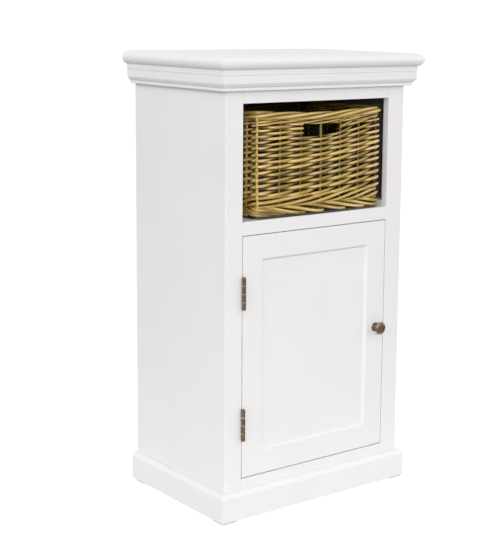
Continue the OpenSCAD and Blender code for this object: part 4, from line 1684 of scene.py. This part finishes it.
@dataclass
class Basket(SubAssembly):
    """The willow basket: stakes, weaving, twisted bands, rim, foot and floor.

    Attributes:
        x0, x1, y0, y1: The walls' middle at the left, the right, the front and the back.
        corner: The corners' radius there.
        floor_z, rim_z: The heights of the floor's and the rim's middle.
        field_low, field_high: The heights between which the rows lie.
        weave: How far the rows swing out and in round the stakes.
        corner_weave, corner_reach: How much further they swing near a corner without a post, and
            from how many gaps off.
        climb, rise: How many rows further down a row starts than it ends, and the even and the
            growing share of that.
        row_z0, row_pitch, row_growth: The height of the row at the holes' lower edge, the
            distance to the next, and how fast that grows downwards.
        beside_z, beside_pitch: The height and the distance of the rows at the holes' left edge.
        hole_x: Where the handle holes start and end along the front.
        hole_margin: How far past their left edge the rows beside them reach, as a share.
        press, press_at, press_reach, press_rows: How far the holes press the rows below them
            down, the middle and the reach of that along the wall, and the rows it fades over.
        rows_below, rows_above: The rows below and above the holes' lower edge.
        span_steps, least_span: The places where a row is tested, and its shortest stretch.
        rod_share, rod_growth, rod_rows: The rows' radius as a share of their distance, how much
            that distance counts for more per row, and the rows between which it does.
        rod_vary, rod_end: The least and the greatest share of that radius, and that at the ends.
        post: The posts outside the weaving at the left corners.
        stake_ends: How far the stakes keep from the floor's and from the rim's middle.
        round_steps: The steps of a rod that runs round the whole basket.
        shade_back_y, shade_back_reach: From where and how deep the bands get painted shade towards
            the back.
        rim_band: The rim.
        bands: The twisted bands above the foot and below the rim.
        end_l, end_r, end_taper, end_steps: The length, radius, loss of radius and steps of the
            stake ends that are laid down in the foot.
        end_z, end_drop: The height where they start, and how far they sink.
        shade_rod_out, shade_rod_z, shade_rod_r: Place and radius of the dark rod under the foot,
            painted shadow.
        inset: How far the floor keeps from the walls' middle.
        sticks, floor_rows: The number of the floor's sticks and of the rods across them.
    """

    body: ClassVar[Body] = Body.BASKET
    x0: float = -138.2
    x1: float = 162.0
    y0: float = 12.5
    y1: float = 261.5
    corner: float = 9.0
    floor_z: float = 584.7
    rim_z: float = 772.3
    field_low: float = 617.0
    field_high: float = 759.5
    weave: float = 4.5
    corner_weave: float = 1.6
    corner_reach: float = 0.6
    climb: int = 6
    rise: tuple[float, float] = (0.55, 0.45)
    row_z0: float = 722.0
    row_pitch: float = 5.3
    row_growth: float = 0.045
    beside_z: float = 728.2
    beside_pitch: float = 4.3
    hole_x: tuple[float, float] = (-34.75, 56.75)
    hole_margin: float = 0.05
    press: float = 8.5
    press_at: float = 0.56
    press_reach: float = 0.2
    press_rows: int = 4
    rows_below: int = 24
    rows_above: int = 10
    span_steps: int = 240
    least_span: float = 0.02
    rod_share: float = 0.475
    rod_growth: float = 0.08
    rod_rows: tuple[int, int] = (-6, 20)
    rod_vary: tuple[float, float] = (0.87, 1.11)
    rod_end: float = 0.8
    post: Stake = Stake(out=4.4, radius=3.0, deep=0.0, tone=0.85, bead=0.24)
    stake_ends: tuple[float, float] = (4.0, 2.0)
    round_steps: int = 176
    shade_back_y: float = 190.0
    shade_back_reach: float = 60.0
    rim_band: Band = Band(rim_z, 1.8, 4, (4.6, 4.8), 3.7, 4, sagging=1.0)
    bands: tuple[Band, ...] = (Band(608.2, 0.6, 5, (4.2, 8.4), 3.15, 4, late=1.6),
                               Band(760.6, 0.2, 3, (3.2, 2.6), 1.9, 7, sagging=1.0))
    end_l: float = 108.0
    end_z: float = 598.8
    end_drop: float = 15.2
    end_r: float = 3.6
    end_taper: float = 0.7
    end_steps: int = 14
    shade_rod_out: float = 4.6
    shade_rod_z: float = 579.8
    shade_rod_r: float = 2.2
    inset: float = 4.5
    sticks: int = 8
    floor_rows: int = 40
    walls: list[Wall] = field(init=False)

    def __post_init__(self) -> None:
        """Lays out the four sides and starts the draws."""
        wide, deep = self.x1 - self.x0, self.y1 - self.y0
        left_front, right_front = Vector((self.x0, self.y0, 0)), Vector((self.x1, self.y0, 0))
        right_back, left_back = Vector((self.x1, self.y1, 0)), Vector((self.x0, self.y1, 0))
        across, back = Vector((1, 0, 0)), Vector((0, 1, 0))
        self.walls = [
            Wall("front", left_front, across, wide, 6, 8, 191, 4.0, 4.6, (True, False), holes=True,
                 middle=Stake(radius=3.1)),
            Wall("right", right_front, back, deep, 8, 6, 253, 1.5, 2.0, (False, False)),
            Wall("back", right_back, -across, wide, 6, 8, 190, 2.0, 2.5, (False, True)),
            # Left wall, in the bay's shade: rows and stakes painted lighter, rows given painted
            # highlight.
            Wall("left", left_back, -back, deep, 8, 6, 252, 1.5, 2.0, (True, True),
                 Stake(0.6, 3.0, 0.0, 0.95), painted_lift=0.6, shade=0.96, sheen_floor=0.9),
        ]
        self.random = random.Random(4)

    # -- The plan --

    def point(self, wall: Wall, t: float, out: float, z: float) -> Vector:
        """Returns a point of a wall.

        Args:
            wall: The wall.
            t: How far along it, from 0 to 1.
            out: How far out of the walls' middle.
            z: The height.

        Returns:
            The point, swollen as the wall is.
        """
        r = self.corner
        turn = math.pi / 4
        bend = turn * r
        d = t * (wall.width - 2 * r + 2 * bend)
        swell = out + wall.bulge * math.sin(math.pi * min(1.0, max(0.0, t))) ** 2
        if d < bend:
            angle = d / r - turn
            a, o = r + (r + swell) * math.sin(angle), -r + (r + swell) * math.cos(angle)
        elif d > bend + wall.width - 2 * r:
            angle = (d - bend - wall.width + 2 * r) / r
            a = wall.width - r + (r + swell) * math.sin(angle)
            o = -r + (r + swell) * math.cos(angle)
        else:
            a, o = d - bend + r, swell
        return wall.corner + wall.along * a + wall.outward() * o + Vector((0, 0, z))

    def wall_at(self, s: float) -> tuple[Wall, float]:
        """Returns the wall at a place of the round, and how far along it that is.

        Args:
            s: The place, which counts walls from the front's left corner.

        Returns:
            The wall, and the share of it from 0 to 1.
        """
        return self.walls[math.floor(s) % len(self.walls)], s - math.floor(s)

    def round_at(self, step: int) -> float:
        """Returns the place of the round at a step of a rod that runs all the way."""
        return len(self.walls) * step / self.round_steps - 0.5

    def around(self, s: float, out: float, z: float) -> Vector:
        """Returns a point of the whole round, where s counts walls from the front's left corner."""
        return self.point(*self.wall_at(s), out, z)

    def sag(self, s: float) -> float:
        """Returns how far the rim has sunk at a place of the round."""
        wall, t = self.wall_at(s)
        return wall.sag * math.sin(math.pi * t) ** 2

    # -- The rows --

    def pile(self, row: float) -> float:
        """Returns how far below the hole's row a row lies at a wall's left corner."""
        return self.row_pitch * row + self.row_growth * row * abs(row)

    def row_z(self, wall: Wall, row: float, t: float) -> float:
        """Returns a row's height: it climbs to the right and ducks below the handle holes.

        Args:
            wall: The wall.
            row: The row, counted downwards from the holes' lower edge.
            t: How far along the wall, from 0 to 1.

        Returns:
            The height of the row's middle.
        """
        lean = self.rise[0] * t + self.rise[1] * t * t
        z = self.row_z0 - self.pile(row) * (1 - lean) - self.pile(row - self.climb) * lean
        if wall.holes:
            reach = math.exp(-((t - self.press_at) / self.press_reach) ** 2)
            z -= self.press * reach * math.exp(-max(row, 0) / self.press_rows)
            left = (self.hole_x[0] - self.x0) / wall.width
            if row < 0 and t < left + self.hole_margin:
                end = self.beside_z + self.beside_pitch * -row
                start = self.row_z0 - self.pile(row)
                z = start + (end - start) * t / left
        return z

    def spans(self, wall: Wall, row: int) -> list[tuple[float, float]]:
        """Returns the stretches of a wall that a row covers, clear of the bands and the holes.

        Args:
            wall: The wall.
            row: The row.

        Returns:
            The start and the end of each stretch along the wall, from 0 to 1.
        """
        steps = self.span_steps
        left, right = ((x - self.x0) / wall.width for x in self.hole_x)
        found: list[tuple[float, float]] = []
        start = None
        for i in range(steps + 1):
            t = i / steps
            z = self.row_z(wall, row, t)
            open_hole = wall.holes and row < 0 and left < t < right
            inside = self.field_low < z < self.field_high and not open_hole
            if inside and start is None:
                start = t
            if start is not None and (not inside or i == steps):
                end = t if inside else (i - 1) / steps
                if end - start > self.least_span:
                    found.append((start, end))
                start = None
        return found

    def weaver(self, wall: Wall, row: int, start: float, end: float) -> Rod:
        """Returns the rod of one row between two places of a wall.

        Args:
            wall: The wall.
            row: The row.
            start: Where the rod starts along the wall, from 0 to 1.
            end: Where it ends.

        Returns:
            The rod, which passes stakes in turn in front and behind.
        """
        count = max(3, round((end - start) * wall.gaps * wall.steps))
        size = self.row_pitch + self.rod_growth * max(min(row, self.rod_rows[1]), self.rod_rows[0])
        thick = self.rod_share * size * self.random.uniform(*self.rod_vary)
        phase = self.random.uniform(0, math.tau)
        drift = self.random.uniform(-0.4, 0.4)
        rod = Rod([], [], wall.painted_lift + (1.0 - wall.painted_lift) * self.random.random())
        for i in range(count + 1):
            t = start + (end - start) * i / count
            place = t * wall.gaps
            turn = math.pi * (place + row)
            swing = math.cos(turn)
            cornering = 1 - smooth(min(place, wall.gaps - place) / self.corner_reach)
            bare = not wall.posts[0] if place < wall.gaps / 2 else not wall.posts[1]
            out = (self.weave + self.corner_weave * cornering * bare) * swing
            stray = 0.45 * math.sin(7.0 * t + phase) + 0.35 * math.sin(19.0 * t + 2.3 * phase)
            rod.points.append(self.point(wall, t, out, self.row_z(wall, row, t) + (stray + drift)))
            rod.radii.append(thick * (1.0 + 0.06 * math.sin(2.3 * t + phase) + 0.15 * swing))
            rod.open.append(wall.outward())
            # Painted shade where the row passes behind a stake.
            rod.tuck_shade.append(wall.shade * smooth(0.15 - swing))
            # Painted highlight as the row swings out at a stake, near bare corners, and all along
            # some walls.
            painted_highlight = max(0.0, -math.sin(turn)) ** 1.5 * smooth((swing + 0.5) / 0.9)
            worn = max(cornering, wall.sheen_floor) * smooth(swing + 0.3)
            rod.painted_sheen.append(0.85 * max(painted_highlight, worn))
        rod.radii[0] *= self.rod_end
        rod.radii[-1] *= self.rod_end
        return rod

    def weave_wall(self, wall: Wall) -> Bundle:
        """Returns a wall's stakes and rows, and its posts where it has them at both ends."""
        bundle = Bundle(wall.seed)
        for row in range(-self.rows_above, self.rows_below + 1):
            for start, end in self.spans(wall, row):
                bundle.lay(self.weaver(wall, row, start, end))
        for stake in range(1, wall.gaps):
            middle = wall.middle if 2 * stake == wall.gaps else None
            self.stand(bundle, wall, stake / wall.gaps, middle or wall.stake)
        if not wall.posts[0]:
            self.stand(bundle, wall, 0.0, wall.stake)
        if all(wall.posts):
            self.stand(bundle, wall, 0.0, self.post)
            self.stand(bundle, wall, 1.0, self.post)
        return bundle

    def stand(self, bundle: Bundle, wall: Wall, t: float, stake: Stake) -> None:
        """Adds a stake.

        Args:
            bundle: The bundle that it goes into.
            wall: Its wall.
            t: How far along the wall it stands.
            stake: The stake.
        """
        low, high = self.floor_z + self.stake_ends[0], self.rim_z - self.stake_ends[1]
        lean = self.random.uniform(-1.0, 1.0)
        phase = self.random.uniform(0, math.tau)
        count = 90 if stake.bead else 14
        points, radii = [], []
        for i in range(count + 1):
            share = i / count
            z = low + (high - low) * share
            shift = (lean * share + 0.4 * math.sin(5 * share + phase)) / wall.width
            wave = math.sin(math.pi * z / self.row_pitch + 0.8 * math.sin(11 * share + phase))
            nip = stake.bead * wave
            points.append(self.point(wall, t + shift, stake.out + 4.0 * nip, z))
            radii.append(stake.radius * (1.05 - 0.15 * share) * (1.0 + nip))
        facing = wall.outward()
        if t in (0.0, 1.0):
            facing = (facing + wall.along * (2 * round(t) - 1)).normalized()
        tone = self.random.uniform(0.1, 0.5) if stake.tone is None else stake.tone
        # Painted shade over the whole stake by its depth, and on its skin turned away.
        opens, shade_tucks = [facing] * len(points), [stake.deep] * len(points)
        bundle.lay(Rod(points, radii, tone, opens, shade_tucks, up=wall.outward()))

    # -- The bands --

    def rope(self, bundle: Bundle, band: Band) -> None:
        """Adds a band of twisted strands, with painted shade inside the twist and painted highlight
        outside.

        Args:
            bundle: The bundle that it goes into.
            band: The band.
        """
        for strand in range(band.strands):
            base = math.tau * strand / band.strands
            phase = self.random.uniform(0, math.tau)
            # The strands draw only light tones, painted light that lifts the bands out of the shade
            # they sit in.
            rod = Rod([], [], self.random.uniform(0.6, 1.0))
            for i in range(self.round_steps + 1):
                s = self.round_at(i)
                wall, t = self.wall_at(s)
                turned = math.floor(s) + t ** band.late
                angle = base + math.tau * band.turns * turned / len(self.walls)
                out, up = math.cos(angle), math.sin(angle)
                stray = 0.35 * math.sin(9.0 * s + phase)
                height = band.z - band.sagging * self.sag(s) + band.reach[1] * up + stray
                rod.points.append(self.around(s, band.out + band.reach[0] * out, height))
                swell = 0.1 * math.sin(3.1 * s + phase)
                rod.radii.append(band.radius * (1.0 + swell + 0.06 * math.sin(8.7 * s + 2 * phase)))
                rod.open.append(wall.outward() * out + Vector((0, 0, up)))
                # Painted shade on each strand's inner side, deepening towards the back of the bay.
                behind = smooth((rod.points[-1].y - self.shade_back_y) / self.shade_back_reach)
                rod.tuck_shade.append(max(0.7 * smooth(-out), behind))
                # Painted highlight in patches on each strand's outer side.
                patch = smooth(0.5 + 0.6 * math.sin(5.3 * s + 2 * phase))
                rod.painted_sheen.append(0.55 * smooth(out) * patch)
            bundle.lay(rod)

    def rim(self) -> Bundle:
        """Returns the rim: thick strands laid round in a long twist."""
        bundle = Bundle(11)
        self.rope(bundle, self.rim_band)
        return bundle

    def foot(self) -> Bundle:
        """Returns the foot: stake ends laid down to the right, the bands, and a painted-shadow rod
        below.
        """
        bundle = Bundle(12)
        starts = [index + k / wall.gaps for index, wall in enumerate(self.walls)
                  for k in range(wall.gaps)]
        for start in starts:
            self.stake_end(bundle, start + 0.02)
        for band in self.bands:
            self.rope(bundle, band)
        # The rod under the foot is painted fully dark, a painted shadow in the gap beneath the
        # foot.
        points = [self.around(self.round_at(i), self.shade_rod_out, self.shade_rod_z)
                  for i in range(self.round_steps + 1)]
        bundle.lay(Rod(points, [self.shade_rod_r] * len(points), 0.0, tuck_shade=[1.0] * len(points)))
        return bundle

    def stake_end(self, bundle: Bundle, start: float) -> None:
        """Adds the end of a stake that is laid down along the foot.

        Args:
            bundle: The bundle that it goes into.
            start: Where it leaves the wall, as a place of the round.
        """
        wall, _ = self.wall_at(start)
        length = self.end_l / wall.width * self.random.uniform(0.9, 1.1)
        tilt = self.random.uniform(-1.2, 1.2)
        phase = self.random.uniform(0, math.tau)
        rod = Rod([], [], self.random.uniform(0.2, 1.0))
        for i in range(self.end_steps + 1):
            u = i / self.end_steps
            out = -3.0 + 7.8 * smooth(u / 0.22) - 2.0 * smooth((u - 0.85) / 0.15)
            z = self.end_z - self.end_drop * smooth(0.06 + 0.94 * u) + tilt * (1 - u)
            rod.points.append(self.around(start + length * u, out, z))
            rod.radii.append(self.end_r - self.end_taper * u)
            # Painted highlight in patches along the laid-down end.
            rod.painted_sheen.append(0.6 * smooth(0.4 + 0.7 * math.sin(6.0 * u + phase)))
            rod.open.append(wall.outward())
        bundle.lay(rod)

    def floor(self) -> Bundle:
        """Returns the woven floor: sticks from front to back, with rods across them."""
        bundle = Bundle(13)
        x0, x1 = self.x0 + self.inset, self.x1 - self.inset
        y0, y1 = self.y0 + self.inset, self.y1 - self.inset
        pitch = (x1 - x0) / self.sticks
        for stick in range(self.sticks):
            x = x0 + pitch * (stick + 0.5)
            points = [Vector((x, y0 + (y1 - y0) * i / 6, self.floor_z)) for i in range(7)]
            bundle.lay(Rod(points, [2.4] * 7, self.random.random()))
        count = self.sticks * 5
        for row in range(self.floor_rows):
            y = y0 + 2.0 + (y1 - y0 - 4.0) * row / (self.floor_rows - 1)
            points, radii = [], []
            for i in range(count + 1):
                x = x0 + (x1 - x0) * i / count
                swing = math.cos(math.pi * ((x - x0) / pitch - 0.5 + row))
                height = self.floor_z + 2.1 * swing
                points.append(Vector((x, y + self.random.uniform(-0.2, 0.2), height)))
                radii.append(2.3 + 0.1 * swing)
            bundle.lay(Rod(points, radii, self.random.random(), sides=6))
        return bundle

    # -- The pieces --

    def build(self) -> None:
        """Builds the basket's pieces."""
        for wall in self.walls:
            self.piece(self.weave_wall(wall), f"basket_{wall.name}_woven", f"basket_{wall.name}")
        self.piece(self.rim(), "basket_rim_twisted", "basket_rim")
        self.piece(self.foot(), "basket_foot_bands", "basket_border")
        self.piece(self.floor(), "basket_floor_woven", "basket_floor")

    def piece(self, bundle: Bundle, name: str, node: str) -> None:
        """Adds a bundle as the piece that stands for a node."""
        self.add(bundle, name, WILLOW, [node], Fit.TURNED, ROD_CREASE)


# ---- Studio ----


@dataclass(frozen=True)
class Light:
    """A soft rectangular light.

    Attributes:
        name: The light's name.
        place: Where it stands, in metres.
        aim: The point it faces.
        size: Its width and height.
        power: Its power in watts.
    """

    name: str
    place: tuple[float, float, float]
    aim: tuple[float, float, float]
    size: tuple[float, float]
    power: float

    def build(self) -> None:
        """Adds the light."""
        data = bpy.data.lights.new(self.name, "AREA")
        data.shape = "RECTANGLE"
        data.size, data.size_y = self.size
        data.energy = self.power
        lamp = bpy.data.objects.new(self.name, data)
        bpy.context.scene.collection.objects.link(lamp)
        lamp.location = self.place
        aim = Vector(self.aim) - Vector(self.place)
        lamp.rotation_euler = aim.to_track_quat("-Z", "Y").to_euler()


LIGHTS = (
    Light("left_front", (-3.2, -5.0, 2.0), (0.0, 0.0, 0.5), (1.6, 1.6), 124.0),
    Light("left_wall", (-5.8, -1.8, 4.0), (0.0, 0.0, 0.4), (3.0, 3.0), 68.0),
    Light("right_front", (4.5, -3.0, 2.5), (0.0, 0.0, 0.45), (2.5, 2.5), 24.0),
)


@dataclass
class Studio:
    """The pale floor, the soft light and the camera.

    Attributes:
        yaw, pitch, roll: The camera's turn, in degrees.
        place: Where the camera stands, in metres.
        focal: The focal length in image pixels.
        centre: The image point of the optical axis.
        image: The image's width and height.
        sensor: The width of the camera's sensor, in millimetres.
        sight: How far the camera sees, in metres.
        floor_size: The half width of the floor, in metres.
        paper: The least and the greatest tone of the floor round the tower.
        far_paper: The floor's tone further off.
        paper_reach: Where it starts and where it has changed to that, in metres.
        glow: How bright the floor is to the camera.
        horizon: The brightness of the room at the floor's height.
        surround: The brightness of the room's walls.
        ceiling: The brightness of its ceiling.
        lights: The lights.
    """

    yaw: float = 38.712
    pitch: float = 9.540
    roll: float = 0.736
    place: tuple[float, float, float] = (-1.6145, -2.0809, 0.9653)
    focal: float = 1314.73
    centre: tuple[float, float] = (293.88, 232.37)
    image: tuple[int, int] = (504, 540)
    sensor: float = 36.0
    sight: float = 3000.0
    floor_size: float = 900.0
    paper: tuple[float, float] = (0.63, 0.67)
    far_paper: float = 0.27
    paper_reach: tuple[float, float] = (0.4, 2.0)
    glow: float = 1.05
    horizon: float = 1.01
    surround: float = 1.23
    ceiling: float = 0.36
    lights: tuple[Light, ...] = LIGHTS

    def build(self) -> None:
        """Builds the floor, the lights and the camera."""
        bpy.context.scene.view_settings.view_transform = "Standard"
        self.floor()
        self.room()
        for light in self.lights:
            light.build()
        self.camera()

    def floor(self) -> None:
        """Adds the floor."""
        bm = bmesh.new()
        bmesh.ops.create_grid(bm, x_segments=8, y_segments=8, size=self.floor_size)
        mesh = bpy.data.meshes.new("studio_floor")
        bm.to_mesh(mesh)
        bm.free()
        ground = bpy.data.objects.new("studio_floor", mesh)
        bpy.context.scene.collection.objects.link(ground)
        mesh.materials.append(self.paper_material())

    def paper_material(self) -> bpy.types.Material:
        """Returns the floor's material: paper, which glows white to the camera."""
        material = bpy.data.materials.new("studio_paper")
        material.use_nodes = True
        nodes = Nodes(material.node_tree)
        place = nodes.add("TexCoord").outputs["Object"]
        reach = nodes.add("VectorMath", {0: place}, operation="LENGTH").outputs["Value"]
        near = nodes.blend(nodes.noise(place, 3.0), *((tone,) * 3 for tone in self.paper))
        tint = nodes.blend(nodes.between(reach, *self.paper_reach), near, (self.far_paper,) * 3)
        paper = nodes.add("BsdfDiffuse", {"Color": tint}).outputs["BSDF"]
        glow = nodes.add("Emission", {"Strength": self.glow}).outputs["Emission"]
        seen = nodes.add("LightPath").outputs["Is Camera Ray"]
        shown = nodes.add("MixShader", {0: seen, 1: paper, 2: glow}).outputs[0]
        surface = material.node_tree.nodes["Material Output"].inputs["Surface"]
        material.node_tree.links.new(shown, surface)
        return material

    def room(self) -> None:
        """Lights the room evenly: horizon, walls and ceiling."""
        world = bpy.data.worlds.new("studio_room")
        world.use_nodes = True
        nodes = Nodes(world.node_tree)
        place = nodes.add("TexCoord").outputs["Generated"]
        height = nodes.add("SeparateXYZ", {0: place}).outputs["Z"]
        above = nodes.between(height, 0.08, 0.45)
        walls = nodes.blend(above, (self.horizon,) * 3, (self.surround,) * 3)
        tint = nodes.blend(nodes.between(height, 0.5, 0.95), walls, (self.ceiling,) * 3)
        world.node_tree.links.new(tint, world.node_tree.nodes["Background"].inputs["Color"])
        bpy.context.scene.world = world

    def camera(self) -> None:
        """Adds the camera at the photograph's place."""
        yaw, pitch, roll = (math.radians(a) for a in (self.yaw, self.pitch, self.roll))
        flat = math.cos(pitch)
        forward = Vector((math.sin(yaw) * flat, math.cos(yaw) * flat, -math.sin(pitch)))
        right = forward.cross(Vector((0, 0, 1))).normalized()
        up = right.cross(forward)
        tilted_right = right * math.cos(roll) + up * math.sin(roll)
        tilted_up = up * math.cos(roll) - right * math.sin(roll)
        data = bpy.data.cameras.new("camera")
        wide, high = self.image
        longer = max(wide, high)
        data.sensor_width = self.sensor
        data.lens = self.focal * self.sensor / longer
        data.shift_x = (wide / 2 - self.centre[0]) / longer
        data.shift_y = (self.centre[1] - high / 2) / longer
        data.clip_end = self.sight
        camera = bpy.data.objects.new("camera", data)
        bpy.context.scene.collection.objects.link(camera)
        camera.matrix_world = frame_at(Vector(self.place), tilted_right, tilted_up, -forward)
        bpy.context.scene.camera = camera


def main() -> None:
    """Builds the tower round its frame, dresses it and sets up the studio."""
    logging.basicConfig(level=logging.INFO, format="%(name)s: %(message)s")
    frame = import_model()
    tower = Tower(frame["nodes"])
    for assembly in (Carcass, FaceFrame, TopBoard, Crown, Plinth, Door, FrameHinges, DoorHinges,
                     Knob, BackScrews, Basket):
        log.info("building %s", assembly.__name__)
        assembly(tower).build()
    tower.dress_rest()
    Studio().build()


if __name__ == "__main__":
    main()
